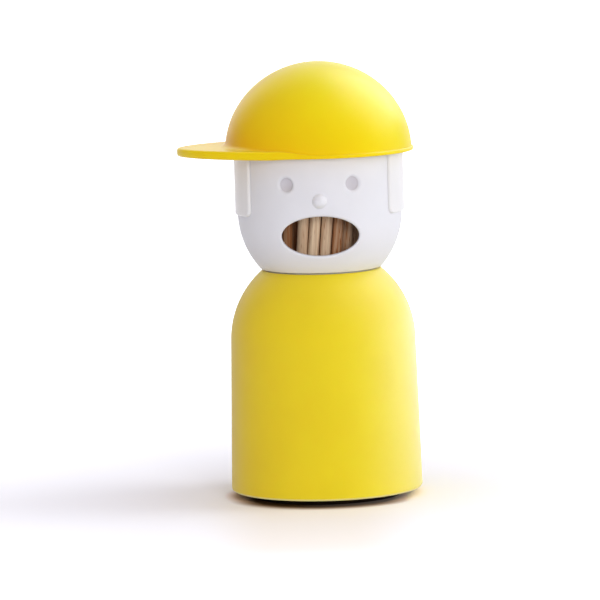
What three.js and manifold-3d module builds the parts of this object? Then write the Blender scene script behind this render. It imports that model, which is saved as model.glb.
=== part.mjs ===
// A figure-shaped toothpick holder: a hollow bell body on a thin foot, a cup-shaped head with a
// face whose open mouth shows the picks, and a peaked cap that closes the head.
// Lengths are in millimetres and angles in degrees. Z is the axis of the figure, the face looks
// towards -Y, and the peak of the cap points to -X.
import * as THREE from "three";
import { mergeVertices } from "three/addons/utils/BufferGeometryUtils.js";
import Module from "manifold-3d";

const wasm = await Module();
wasm.setup();

// Clearances
const seatGap = 0.3;
const runningGap = 0.3;
const cutOverrun = 1;

// Toothpicks, which stand as a slightly twisted bundle of rings
const pickLength = 65;
const pickRadius = 1.05;
const pickTipRadius = 0.35;
const pickTipLength = 9;
const pickSpacing = 0.23;
const pickPlay = 0.3;
const pickHeadroom = 0.92;
const pickLean = 5.5;
const pickRings = [
  { count: 20, slots: 20.7, turn: -37 },
  { count: 14, slots: 14, turn: -20 },
  { count: 8, slots: 8, turn: 5 },
];

// Foot pad and bottom plug
const footThickness = 1;
const footInset = 3.8;
const plugThickness = 2;
const plugSocketWall = 1.4;
const plugSocketHeight = 3.2;

// Body shell: a slight taper, then a round shoulder up to the neck. Its height follows from the picks
const bodyFootRadius = 19;
const bodyShoulderRadius = 18.32;
const bodyShoulderRise = 18.31;
const bodyWall = 1.6;
const neckLand = 0.8;

// Pick cup and neck sleeve
const cupWall = 1;
const cupFloor = 1.2;
const sleeveFlange = 1.5;
const sleeveFlangeHeight = 1.2;
const sleeveRise = 2.6;

// Head shell
const headRadius = 16.27;
const headChinRise = 16.67;
const headWall = 1.6;
const headWallHeight = 14.3;
const headOverhang = 0.2;

// Face: the mouth, the eye dishes and the nose
const mouthHalfWidth = 7.55;
const mouthHalfHeight = 3.94;
const mouthDrop = 3.75;
const eyeRadius = 1.7;
const eyeFloorRadius = 1.35;
const eyeDepth = 0.7;
const eyeRise = 6.45;
const eyeAngle = 23.7;
const noseRadius = 1.55;
const noseSink = 0.45;
const noseRise = 3.2;

// Side flaps, let into the sides of the head
const flapHalfWidth = 9.2;
const flapHeight = 13.1;
const flapCornerRadius = 1.9;
const flapProud = 0.48;
const flapInset = 0.5;
const flapCoveredHeight = 1.2;

// Cap: the dome with its rim bead, the peak, and the liner that plugs the head
const capRise = 17.87;
const capWall = 1.4;
const capClearance = 0.35;
const capOverlap = 2.65;
const rimBead = 0.32;
const rimBeadHeight = 0.7;
const peakOverhang = 9.4;
const peakThickness = 1.6;
const peakEdgeRound = 0.5;
const peakFullness = 1.7;
const linerThickness = 1.2;
const linerDepth = 4.3;

// Facet counts
const outerFacets = 48;
const innerFacets = 32;
const pickFacets = 8;
const curveSteps = 8;
const cornerSteps = 4;

// Sizes that follow from the ones above
const degree = Math.PI / 180;
const pickPitch = 2 * pickRadius + pickSpacing;
const ringRadius = (ring) => pickPitch / (2 * Math.sin(Math.PI / ring.slots));
const bundleRadius = ringRadius(pickRings[0]);
const leanSlope = Math.tan(pickLean * degree);
const pickHeight = pickLength / Math.hypot(1, leanSlope);
const bundleTwist = leanSlope / bundleRadius;
const bundleEndRadius = bundleRadius * Math.hypot(1, (bundleTwist * pickHeight) / 2);
const cupInner = bundleEndRadius + pickRadius + pickPlay;
const cupOuter = cupInner + cupWall;
const neckHole = cupOuter + runningGap;
const neckOuter = neckHole + neckLand;
const headFootRadius = neckOuter + headOverhang;
const headInner = headRadius - headWall;
const sleeveFlangeRadius = cupOuter + sleeveFlange;
const shoulderInner = bodyShoulderRadius - bodyWall;
const shoulderInnerRise = bodyShoulderRise - bodyWall;
const capInner = headRadius + flapProud + capClearance;
const capRadius = capInner + capWall;
const capInnerRise = capRise - capWall;
const peakReach = capRadius + peakOverhang;

// Heights above the surface that the figure stands on
const bodyBottom = footThickness + seatGap;
const plugTop = bodyBottom + plugThickness;
const cupBottom = plugTop + seatGap;
const pickBottom = cupBottom + cupFloor + seatGap;
const headTop = pickBottom + pickLength + pickHeadroom;
const headCentre = headTop - headWallHeight;
const headBottom = headCentre - riseToRadius(headRadius, headChinRise, headFootRadius);
const bodyTop = headBottom - seatGap;
const shoulderBottom = bodyTop - riseToRadius(bodyShoulderRadius, bodyShoulderRise, neckOuter);
const sleeveTop = headBottom + sleeveRise;
const sleeveFlangeTop =
  shoulderBottom + riseToRadius(shoulderInner, shoulderInnerRise, sleeveFlangeRadius) - seatGap;
const sleeveBottom = sleeveFlangeTop - sleeveFlangeHeight;
const capRim = headTop - capOverlap;
const linerBottom = headTop + seatGap;
const linerTop = linerBottom + linerThickness;
const flapTop = capRim + flapCoveredHeight;
const flapBottom = flapTop - flapHeight;

// The height above its centre at which an ellipse has shrunk to the given radius.
function riseToRadius(semiRadius, semiHeight, radius) {
  return semiHeight * Math.sqrt(1 - (radius / semiRadius) ** 2);
}

// The radius of an ellipse at the given height above its centre.
function radiusAtRise(semiRadius, semiHeight, rise) {
  return semiRadius * Math.sqrt(1 - (rise / semiHeight) ** 2);
}

// Profile points on an ellipse, from one height above its centre to another, in equal angles.
function ellipsePoints(semiRadius, semiHeight, centre, fromRise, toRise) {
  const from = Math.asin(fromRise / semiHeight);
  const to = Math.asin(toRise / semiHeight);
  const points = [];
  for (let step = 0; step <= curveSteps; step++) {
    const angle = from + ((to - from) * step) / curveSteps;
    points.push([semiRadius * Math.cos(angle), centre + semiHeight * Math.sin(angle)]);
  }
  return points;
}

// A solid of revolution about Z from [radius, height] points, listed anticlockwise round the
// section. A profile that leaves the axis is closed on itself.
function revolve(points, facets) {
  const onAxis = points[0][0] === 0 && points[points.length - 1][0] === 0;
  const loop = onAxis ? points : [...points, points[0]];
  const profile = loop.map(([radius, height]) => new THREE.Vector2(radius, height));
  return new THREE.LatheGeometry(profile, facets).rotateX(Math.PI / 2);
}

// A tube about Z with square ends.
function ring(inner, outer, bottom, top, facets) {
  return revolve([[inner, bottom], [outer, bottom], [outer, top], [inner, top]], facets);
}

// A three.js geometry as a manifold solid.
function toSolid(geometry) {
  const bare = geometry.clone();
  bare.deleteAttribute("normal");
  bare.deleteAttribute("uv");
  const merged = mergeVertices(bare);
  return new wasm.Manifold(new wasm.Mesh({
    numProp: 3,
    vertProperties: merged.attributes.position.array,
    triVerts: new Uint32Array(merged.index.array),
  }));
}

// A manifold solid as a three.js geometry.
function toGeometry(solid) {
  const mesh = solid.getMesh();
  const geometry = new THREE.BufferGeometry();
  geometry.setAttribute("position", new THREE.BufferAttribute(mesh.vertProperties, mesh.numProp));
  geometry.setIndex(new THREE.BufferAttribute(mesh.triVerts, 1));
  geometry.computeVertexNormals();
  return geometry;
}

// Finishes
const yellowPlastic = { color: 0xe8d21c, roughness: 0.5, metalness: 0 };
const capPlastic = { color: 0xf2e000, roughness: 0.35, metalness: 0 };
const whitePlastic = { color: 0xeeecef, roughness: 0.45, metalness: 0 };
const milkyPlastic = { color: 0xf4f1f4, roughness: 0.3, metalness: 0 };
const blackPlastic = { color: 0x1c1b19, roughness: 0.6, metalness: 0 };
const blackRubber = { color: 0x141312, roughness: 0.85, metalness: 0 };
const paleWood = { color: 0xd9b184, roughness: 0.75, metalness: 0 };

function part(name, geometry, finish) {
  const mesh = new THREE.Mesh(geometry, new THREE.MeshStandardMaterial(finish));
  mesh.name = name;
  return mesh;
}

// The soft pad that the figure stands on, set well back under the rim of the body.
function footPad() {
  const radius = bodyFootRadius - footInset;
  const profile = [[0, 0], [radius, 0], [radius, footThickness], [0, footThickness]];
  return part("foot_pad", revolve(profile, outerFacets), blackRubber);
}

// The disc that closes the body, with a socket ring that holds the pick cup upright.
function bottomPlug() {
  const radius = bodyFootRadius - bodyWall - seatGap;
  const socketInner = cupOuter + seatGap;
  const socketOuter = socketInner + plugSocketWall;
  const socketTop = plugTop + plugSocketHeight;
  const profile = [
    [0, bodyBottom],
    [radius, bodyBottom],
    [radius, plugTop],
    [socketOuter, plugTop],
    [socketOuter, socketTop],
    [socketInner, socketTop],
    [socketInner, plugTop],
    [0, plugTop],
  ];
  return part("bottom_plug", revolve(profile, outerFacets), blackPlastic);
}

// The bell: a straight taper and an elliptical shoulder, open below and at the neck.
function bodyShell() {
  const neckRise = riseToRadius(shoulderInner, shoulderInnerRise, neckHole);
  const outer = ellipsePoints(
    bodyShoulderRadius, bodyShoulderRise, shoulderBottom, 0, bodyTop - shoulderBottom,
  );
  const inner = ellipsePoints(shoulderInner, shoulderInnerRise, shoulderBottom, neckRise, 0);
  const profile = [
    [bodyFootRadius - bodyWall, bodyBottom],
    [bodyFootRadius, bodyBottom],
    ...outer,
    [neckHole, bodyTop],
    ...inner,
  ];
  return part("body_shell", revolve(profile, outerFacets), yellowPlastic);
}

// The tube with a floor in which the picks stand.
function pickCup() {
  const top = sleeveBottom - seatGap;
  const floor = cupBottom + cupFloor;
  const profile = [
    [0, cupBottom],
    [cupOuter, cupBottom],
    [cupOuter, top],
    [cupInner, top],
    [cupInner, floor],
    [0, floor],
  ];
  return part("pick_cup", revolve(profile, innerFacets), whitePlastic);
}

// The sleeve that turns in the neck of the body. Its flange keeps it in, and the head sits over
// the end that stands out.
function neckSleeve() {
  const profile = [
    [cupInner, sleeveBottom],
    [sleeveFlangeRadius, sleeveBottom],
    [sleeveFlangeRadius, sleeveFlangeTop],
    [cupOuter, sleeveFlangeTop],
    [cupOuter, sleeveTop],
    [cupInner, sleeveTop],
  ];
  return part("neck_sleeve", revolve(profile, innerFacets), whitePlastic);
}

// The elliptical prism that opens the mouth through the front wall of the head.
function mouthCut() {
  const outline = new THREE.Shape();
  outline.absellipse(0, 0, mouthHalfWidth, mouthHalfHeight, 0, 2 * Math.PI);
  const depth = headRadius + cutOverrun;
  return toSolid(
    new THREE.ExtrudeGeometry(outline, { depth, bevelEnabled: false, curveSegments: outerFacets / 4 })
      .rotateX(Math.PI / 2)
      .translate(0, 0, headCentre - mouthDrop),
  );
}

// A dish for one eye: a shallow cone frustum sunk into the wall at the given angle from the front.
function eyeCut(angle) {
  const flare = (eyeRadius - eyeFloorRadius) / eyeDepth;
  const openRadius = eyeRadius + flare * cutOverrun;
  const profile = [[0, -eyeDepth], [eyeFloorRadius, -eyeDepth], [openRadius, cutOverrun], [0, cutOverrun]];
  return toSolid(
    revolve(profile, innerFacets / 2)
      .rotateX(Math.PI / 2)
      .translate(0, -headRadius, 0)
      .rotateZ(angle * degree)
      .translate(0, 0, headCentre + eyeRise),
  );
}

// The nose: a ball that stands partly out of the front wall.
function noseBall() {
  return toSolid(
    new THREE.SphereGeometry(noseRadius, innerFacets / 2, curveSteps)
      .translate(0, noseSink - headRadius, headCentre + noseRise),
  );
}

// The upright prism, rounded at its lower corners, that bounds a side flap, widened by a margin.
function flapPrism(side, margin) {
  const half = flapHalfWidth + margin;
  const low = flapBottom - margin;
  const corner = flapCornerRadius + margin;
  const high = headTop + cutOverrun;
  const outline = new THREE.Shape();
  outline.moveTo(-half, high);
  outline.lineTo(-half, low + corner);
  outline.absarc(corner - half, low + corner, corner, Math.PI, 1.5 * Math.PI);
  outline.absarc(half - corner, low + corner, corner, 1.5 * Math.PI, 2 * Math.PI);
  outline.lineTo(half, high);
  const depth = headRadius + flapProud + cutOverrun;
  return toSolid(
    new THREE.ExtrudeGeometry(outline, { depth, bevelEnabled: false, curveSegments: cornerSteps })
      .rotateX(Math.PI / 2)
      .rotateZ((side * Math.PI) / 2),
  );
}

// One side flap: the piece of a thin ring inside the prism.
function sideFlap(name, side) {
  const band = ring(headRadius - flapInset, headRadius + flapProud, flapBottom, flapTop, outerFacets);
  return part(name, toGeometry(toSolid(band).intersect(flapPrism(side, 0))), milkyPlastic);
}

// The pocket in the head that a side flap lies in.
function flapPocket(side) {
  const inner = headRadius - flapInset - seatGap;
  const outer = headRadius + flapProud + cutOverrun;
  const band = ring(inner, outer, flapBottom - seatGap, headTop + cutOverrun, outerFacets);
  return toSolid(band).intersect(flapPrism(side, seatGap));
}

// The head: a straight cup wall over an elliptical chin, bored to sit over the neck sleeve.
function headShell() {
  const chinFrom = headBottom - headCentre;
  const innerChinRise = headChinRise - headWall;
  const boreTop = sleeveTop - headCentre;
  const outer = ellipsePoints(headRadius, headChinRise, headCentre, chinFrom, 0);
  const inner = ellipsePoints(headInner, innerChinRise, headCentre, 0, boreTop);
  const profile = [
    [neckHole, headBottom],
    ...outer,
    [headRadius, headTop],
    [headInner, headTop],
    ...inner,
    [neckHole, sleeveTop],
  ];
  const solid = toSolid(revolve(profile, outerFacets))
    .add(noseBall().subtract(toSolid(noseCore())))
    .subtract(mouthCut())
    .subtract(eyeCut(eyeAngle))
    .subtract(eyeCut(-eyeAngle))
    .subtract(flapPocket(1))
    .subtract(flapPocket(-1));
  return part("head_shell", toGeometry(solid), whitePlastic);
}

// The hollow of the head, which the nose must not reach into.
function noseCore() {
  const margin = headWall / 2;
  const profile = [
    [0, headCentre - cutOverrun],
    [headRadius - margin, headCentre - cutOverrun],
    [headRadius - margin, headTop],
    [0, headTop],
  ];
  return revolve(profile, outerFacets);
}

// The liner in the cap: a flange that rests on the head and a skirt that plugs it.
function capLiner() {
  const skirtOuter = headInner - seatGap;
  const skirtInner = skirtOuter - linerThickness;
  const flangeRadius = radiusAtRise(capInner, capInnerRise, linerTop - capRim) - runningGap;
  const skirtBottom = linerBottom - linerDepth;
  const profile = [
    [skirtInner, skirtBottom],
    [skirtOuter, skirtBottom],
    [skirtOuter, linerBottom],
    [flangeRadius, linerBottom],
    [flangeRadius, linerTop],
    [skirtInner, linerTop],
  ];
  return part("cap_liner", revolve(profile, innerFacets), whitePlastic);
}

// The peak: in plan half of a superellipse, a little less full than an ellipse, which leaves the rim
// along its tangent at both sides, with a rounded edge.
function capPeak() {
  const halfWidth = capRadius + rimBead - peakEdgeRound;
  const reach = peakReach - peakEdgeRound;
  const power = 2 / peakFullness;
  const quarter = outerFacets / 4;
  const side = [];
  for (let step = 0; step < quarter; step++) {
    const angle = (Math.PI / 2) * (step / quarter);
    side.push([-reach * Math.sin(angle) ** power, halfWidth * Math.cos(angle) ** power]);
  }
  const farSide = side.map(([x, y]) => [x, -y]).reverse();
  const corners = [...side, [-reach, 0], ...farSide];
  const outline = new THREE.Shape(corners.map(([x, y]) => new THREE.Vector2(x, y)));
  const bevel = {
    depth: peakThickness - 2 * peakEdgeRound,
    bevelSize: peakEdgeRound,
    bevelThickness: peakEdgeRound,
    bevelSegments: 2,
  };
  return toSolid(
    new THREE.ExtrudeGeometry(outline, bevel).translate(0, 0, capRim + peakEdgeRound),
  );
}

// The cap: an elliptical dome with a bead round its rim and the peak, hollow below.
function capShell() {
  const beadRadius = capRadius + rimBead;
  const outer = ellipsePoints(capRadius, capRise, capRim, rimBeadHeight, capRise);
  const inner = ellipsePoints(capInner, capInnerRise, capRim, 0, capInnerRise);
  outer[outer.length - 1][0] = 0;
  inner[inner.length - 1][0] = 0;
  const dome = [[0, capRim], [beadRadius, capRim], [beadRadius, capRim + rimBeadHeight], ...outer];
  const hollow = [[0, capRim - cutOverrun], [capInner, capRim - cutOverrun], ...inner];
  const solid = toSolid(revolve(dome, outerFacets))
    .add(capPeak())
    .subtract(toSolid(revolve(hollow, outerFacets)));
  return part("cap_shell", toGeometry(solid), capPlastic);
}

// One toothpick, standing at the given place of its ring. The whole bundle is turned a little
// round the axis from bottom to top, so each pick leans sideways in proportion to its radius.
function toothpick(name, radius, angle) {
  const half = pickLength / 2;
  const shank = half - pickTipLength;
  const profile = [
    [0, -half],
    [pickTipRadius, -half],
    [pickRadius, -shank],
    [pickRadius, shank],
    [pickTipRadius, half],
    [0, half],
  ];
  const pick = part(name, revolve(profile, pickFacets), paleWood);
  const x = radius * Math.sin(angle * degree);
  const y = -radius * Math.cos(angle * degree);
  const direction = new THREE.Vector3(-y * bundleTwist, x * bundleTwist, 1).normalize();
  pick.quaternion.setFromUnitVectors(new THREE.Vector3(0, 0, 1), direction);
  pick.position.set(x, y, pickBottom + half * direction.z);
  return pick;
}

// The bundle: one pick on the axis and rings of picks round it.
function toothpicks() {
  const bundle = new THREE.Group();
  const name = () => "toothpick_" + String(bundle.children.length + 1).padStart(2, "0");
  for (const pickRing of pickRings)
    for (let place = 0; place < pickRing.count; place++) {
      const angle = pickRing.turn + (360 * place) / pickRing.slots;
      bundle.add(toothpick(name(), ringRadius(pickRing), angle));
    }
  bundle.add(toothpick(name(), 0, 0));
  return bundle;
}

const body = new THREE.Group();
body.add(footPad(), bottomPlug(), bodyShell(), pickCup(), toothpicks());

const head = new THREE.Group();
head.add(headShell(), sideFlap("left_side_flap", -1), sideFlap("right_side_flap", 1));

const cap = new THREE.Group();
cap.add(capLiner(), capShell());

const figure = new THREE.Group();
figure.add(body, neckSleeve(), head, cap);

export default figure;
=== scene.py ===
import math

import bmesh
import bpy
import numpy as np
from bpy.props import FloatProperty, FloatVectorProperty, IntProperty, PointerProperty
from mathutils import Matrix, Vector


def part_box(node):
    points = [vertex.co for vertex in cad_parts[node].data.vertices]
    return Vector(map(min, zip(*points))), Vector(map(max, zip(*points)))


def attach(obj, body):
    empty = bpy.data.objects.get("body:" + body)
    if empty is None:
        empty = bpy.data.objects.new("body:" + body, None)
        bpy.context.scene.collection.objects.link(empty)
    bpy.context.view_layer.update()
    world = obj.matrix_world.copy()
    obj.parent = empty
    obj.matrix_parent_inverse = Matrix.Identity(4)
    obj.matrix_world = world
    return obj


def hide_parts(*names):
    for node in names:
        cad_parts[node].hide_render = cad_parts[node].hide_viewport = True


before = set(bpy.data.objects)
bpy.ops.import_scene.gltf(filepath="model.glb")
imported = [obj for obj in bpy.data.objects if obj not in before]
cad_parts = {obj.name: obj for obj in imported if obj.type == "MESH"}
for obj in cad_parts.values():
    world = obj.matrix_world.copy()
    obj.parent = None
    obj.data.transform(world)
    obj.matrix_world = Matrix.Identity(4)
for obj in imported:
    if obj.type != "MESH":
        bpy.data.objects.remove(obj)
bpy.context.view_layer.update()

bl_info = {
    "name": "Figure toothpick dispenser",
    "version": (1, 0, 0),
    "blender": (4, 5, 0),
    "location": "3D View > Sidebar > Dispenser",
    "description": "Makes the surfaces, the picks and the finishes of a figure-shaped toothpick dispenser",
    "category": "Object",
}

MM = 0.001
PICK_NODES = sorted(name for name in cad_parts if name.startswith("toothpick_"))
MERGE_DISTANCE = 0.0005 * MM
HEAD_WALL_HEIGHT = 14.3 * MM

# How dark the picks are that show in the mouth, from 0, where 20, 33 and 34, which show in the dark gap
# behind the front row, are made darkest as painted shade; the others are drawn at random
PICK_TONES_AND_SHADE = {
    "toothpick_20": 1.5, "toothpick_34": 1.6, "toothpick_33": 1.6, "toothpick_01": 0.1, "toothpick_02": 0.0,
    "toothpick_03": 0.15, "toothpick_04": 1.15, "toothpick_05": 0.55, "toothpick_06": 0.6,
}


# Sizes read from the boxes of the CAD nodes in model.glb

def low_corner(node):
    """The corner of a CAD node's box with the least coordinates"""
    return np.array(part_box(node)[0])


def high_corner(node):
    """The corner of a CAD node's box with the greatest coordinates"""
    return np.array(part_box(node)[1])


FOOT_TOP = high_corner("foot_pad")[2]
FOOT_RADIUS = high_corner("foot_pad")[0]
PLUG_BOTTOM = low_corner("bottom_plug")[2]
PLUG_RADIUS = high_corner("bottom_plug")[0]
PLUG_SOCKET_TOP = high_corner("bottom_plug")[2]
BODY_BOTTOM = low_corner("body_shell")[2]
BODY_TOP = high_corner("body_shell")[2]
BODY_FOOT_RADIUS = high_corner("body_shell")[0]
CUP_BOTTOM = low_corner("pick_cup")[2]
CUP_TOP = high_corner("pick_cup")[2]
CUP_OUTER = high_corner("pick_cup")[0]
SLEEVE_BOTTOM = low_corner("neck_sleeve")[2]
SLEEVE_TOP = high_corner("neck_sleeve")[2]
SLEEVE_FLANGE_RADIUS = high_corner("neck_sleeve")[0]
HEAD_BOTTOM = low_corner("head_shell")[2]
HEAD_TOP = high_corner("head_shell")[2]
HEAD_RADIUS = high_corner("head_shell")[1]
CHIN_START = HEAD_TOP - HEAD_WALL_HEIGHT
FLAP_BOTTOM = low_corner("right_side_flap")[2]
FLAP_TOP = high_corner("right_side_flap")[2]
FLAP_OUTER = high_corner("right_side_flap")[0]
FLAP_HALF_WIDTH = high_corner("right_side_flap")[1]
LINER_BOTTOM = low_corner("cap_liner")[2]
LINER_TOP = high_corner("cap_liner")[2]
LINER_FLANGE_RADIUS = high_corner("cap_liner")[0]
CAP_RIM = low_corner("cap_shell")[2]
CAP_TOP = high_corner("cap_shell")[2]
CAP_BEAD_RADIUS = high_corner("cap_shell")[0]
PEAK_REACH = -low_corner("cap_shell")[0]


# Properties

def length(name, description, size):
    """A property for a length in metres"""
    return FloatProperty(
        name=name, description=description, default=size, min=0.0, unit="LENGTH", precision=5,
    )


def colour(name, description, value):
    """A property for a colour in linear light"""
    return FloatVectorProperty(
        name=name, description=description, default=value, size=3, min=0.0, max=1.0, subtype="COLOR",
    )


class DispenserBodySizes(bpy.types.PropertyGroup):
    wall: length("Body wall", "Thickness of the bell's wall", 1.6 * MM)
    shoulder_radius: length("Shoulder radius", "Radius of the bell where the shoulder starts", 18.32 * MM)
    shoulder_rise: length("Shoulder rise", "Vertical half axis of the shoulder's ellipse", 18.31 * MM)
    neck_land: length("Neck land", "Width of the flat ring round the neck hole", 0.8 * MM)
    rim_rounding: length("Rim rounding", "Rounding of the bell's lower rim", 0.6 * MM)
    neck_rounding: length("Neck rounding", "Rounding of the outer edge of the neck", 0.3 * MM)
    hidden_rounding: length("Hidden rounding", "Rounding of edges inside the bell", 0.25 * MM)
    running_gap: length("Running gap", "Gap between the sleeve and what turns on it", 0.3 * MM)
    socket_wall: length("Socket wall", "Wall of the plug's socket ring", 1.4 * MM)
    plug_thickness: length("Plug thickness", "Thickness of the bottom plug's disc", 2.0 * MM)
    cup_wall: length("Cup wall", "Wall of the pick cup and of the neck sleeve", 1.0 * MM)
    cup_floor: length("Cup floor", "Thickness of the pick cup's floor", 1.2 * MM)
    flange_height: length("Flange height", "Height of the neck sleeve's flange", 1.2 * MM)


class DispenserHeadSizes(bpy.types.PropertyGroup):
    wall: length("Head wall", "Thickness of the head's wall", 1.6 * MM)
    chin_rise: length("Chin rise", "Vertical half axis of the chin's ellipse", 16.67 * MM)
    foot_rounding: length("Foot rounding", "Rounding of the head's lower edge", 0.35 * MM)
    top_rounding: length("Top rounding", "Rounding of the head's upper rim", 0.4 * MM)
    mouth_half_width: length("Mouth half width", "Half width of the mouth", 7.55 * MM)
    mouth_half_height: length("Mouth half height", "Half height of the mouth", 3.94 * MM)
    mouth_drop: length("Mouth drop", "Mouth centre below the start of the chin", 3.75 * MM)
    lip_rounding: length("Lip rounding", "Rounding of the mouth's outer edge", 0.55 * MM)
    eye_rise: length("Eye rise", "Eye centres above the start of the chin", 6.45 * MM)
    eye_angle: FloatProperty(
        name="Eye angle", description="Angle of the eyes from the front", subtype="ANGLE",
        default=math.radians(23.7),
    )
    eye_rim: length("Eye rim radius", "Radius where the dish starts", 1.98 * MM)
    eye_floor: length("Eye floor radius", "Radius of the floor of the dish", 1.32 * MM)
    eye_depth: length("Eye depth", "Depth of the dish at the foot of its wall", 0.55 * MM)
    eye_bowl: length("Eye bowl", "How much deeper the middle of the dish is", 0.3 * MM)
    nose_rise: length("Nose rise", "Nose centre above the start of the chin", 3.2 * MM)
    nose_radius: length("Nose radius", "Radius of the nose at the face", 1.42 * MM)
    nose_height: length("Nose height", "How far the nose stands out", 1.08 * MM)
    flap_corner: length("Flap corner", "Radius of the flaps' lower corners", 1.25 * MM)
    flap_rounding: length("Flap rounding", "Rounding of the flaps' outer edge", 0.22 * MM)
    flap_gap: length("Flap gap", "Glue line between a flap and the head", 0.01 * MM)


class DispenserCapSizes(bpy.types.PropertyGroup):
    wall: length("Cap wall", "Thickness of the cap's wall", 1.4 * MM)
    bead: length("Rim bead", "How far the bead stands out from the dome", 0.32 * MM)
    bead_height: length("Bead height", "Height of the bead", 0.7 * MM)
    peak_thickness: length("Peak thickness", "Thickness of the peak", 1.7 * MM)
    peak_fillet: length("Peak fillet", "Fillet between the dome and the peak", 1.0 * MM)
    peak_fullness: FloatProperty(
        name="Peak fullness", description="Power of the peak's superellipse; 2 is an ellipse",
        default=1.7, min=1.2,
    )
    peak_dip: length("Peak dip", "How far the peak lies below the rim's level", 0.2 * MM)
    rim_flare: length("Rim flare", "Height over which the dome runs out into the rim's bead", 0.55 * MM)
    rim_rounding: length("Inner rim rounding", "Rounding of the inner edge of the rim", 0.3 * MM)
    liner_wall: length("Liner wall", "Thickness of the liner", 1.2 * MM)


class DispenserPickSizes(bpy.types.PropertyGroup):
    radius: length("Pick radius", "Radius of a toothpick", 1.07 * MM)
    tip_radius: length("Tip radius", "Radius of the blunt end", 0.3 * MM)
    tip_length: length("Tip length", "Length of the tapered end", 9.0 * MM)
    roughness: length("Splinter depth", "Unevenness of a pick's side", 0.03 * MM)
    seed: IntProperty(name="Seed", description="Seed of the picks' unevenness and tone", default=7)


class DispenserFinishes(bpy.types.PropertyGroup):
    body_yellow: colour("Body yellow", "Matte yellow of the bell", (0.86, 0.655, 0.002))
    cap_yellow: colour("Cap yellow", "Satin yellow of the cap", (0.93, 0.63, 0.001))
    head_white: colour("Head white", "White of the head", (0.80, 0.80, 0.85))
    flap_white: colour("Flap white", "Milky white of the side flaps", (0.84, 0.83, 0.85))
    inner_white: colour("Inner white", "White of the moulded inner pieces", (0.78, 0.77, 0.75))
    plug_black: colour("Plug black", "Black of the bottom plug", (0.012, 0.011, 0.010))
    foot_black: colour("Foot black", "Black of the foam foot pad", (0.008, 0.004, 0.002))
    wood_pale: colour("Pale wood", "Pale grain of the picks", (0.97, 0.765, 0.535))
    wood_dark: colour("Dark wood", "Dark grain of the picks", (0.37, 0.14, 0.048))


class DispenserStage(bpy.types.PropertyGroup):
    camera_distance: length("Camera distance", "Distance in front of the axis", 985.96 * MM)
    camera_height: length("Camera height", "Height above the floor", 151.24 * MM)
    lens: FloatProperty(
        name="Lens", description="Focal length in millimetres", default=300.26, unit="CAMERA",
    )
    tilt: FloatProperty(
        name="Tilt", description="Downward tilt", subtype="ANGLE", default=math.radians(6.5),
    )
    yaw: FloatProperty(
        name="Yaw", description="Turn to the right", subtype="ANGLE", default=math.radians(-0.256),
    )
    roll: FloatProperty(
        name="Roll", description="Roll of the picture", subtype="ANGLE", default=math.radians(-1.595),
    )
    floor_size: length("Floor size", "Side of the square floor", 8.0)


# Shapes

def rounded_outline(corners, steps=5):
    """A closed outline through corners (x, y, rounding). A corner with a rounding becomes an arc tangent to
    both of its sides, with one more point on each side of the arc so that the flats stay flat."""
    places = np.array([corner[:2] for corner in corners])
    behind = np.roll(places, 1, axis=0) - places
    ahead = np.roll(places, -1, axis=0) - places
    stretches = []
    for (x, y, rounding), back, forward in zip(corners, behind, ahead):
        corner = np.array([x, y])
        if rounding <= 0:
            stretches.append(corner[None])
            continue
        back_length, forward_length = np.linalg.norm(back), np.linalg.norm(forward)
        back, forward = back / back_length, forward / forward_length
        half = 0.5 * np.arccos(np.clip(back @ forward, -1, 1))
        reach = rounding / np.tan(half)
        middle = (back + forward) / np.linalg.norm(back + forward)
        centre = corner + middle * rounding / np.sin(half)
        sweep = np.pi - 2 * half
        share = np.linspace(0, 1, steps + 1)[:, None]
        start, end = corner + back * reach - centre, corner + forward * reach - centre
        arc = centre + (start * np.sin((1 - share) * sweep) + end * np.sin(share * sweep)) / np.sin(sweep)
        guard_back = corner + back * min(1.6 * reach, 0.5 * (reach + back_length))
        guard_forward = corner + forward * min(1.6 * reach, 0.5 * (reach + forward_length))
        stretches.append(np.concatenate([guard_back[None], arc, guard_forward[None]]))
    return np.concatenate(stretches)


def ellipse_arc(radius, rise, centre, low, high, steps=40):
    """Points (radius, height, 0) on an ellipse between two heights, in equal angles, ready to be corners."""
    angles = np.linspace(np.arcsin((low - centre) / rise), np.arcsin((high - centre) / rise), steps)
    return [(radius * np.cos(a), centre + rise * np.sin(a), 0.0) for a in angles]


def revolved(outline, columns=192):
    """The closed outline (radius, height) turned once round Z: a grid whose first and last rows and columns
    coincide."""
    loop = np.concatenate([outline, outline[:1]])
    angle = np.linspace(0, 2 * np.pi, columns + 1)
    radius, height = loop[:, 0], loop[:, 1]
    return np.stack([
        radius[None, :] * np.cos(angle)[:, None],
        radius[None, :] * np.sin(angle)[:, None],
        np.broadcast_to(height, (columns + 1, len(loop))),
    ], axis=-1)


def quads(rows, columns, offset):
    """Vertex numbers of the quads of a grid stored row by row, starting at the given number."""
    number = offset + np.arange(rows * columns).reshape(rows, columns)
    corners = [number[:-1, :-1], number[:-1, 1:], number[1:, 1:], number[1:, :-1]]
    return np.stack(corners, axis=-1).reshape(-1, 4)


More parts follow.
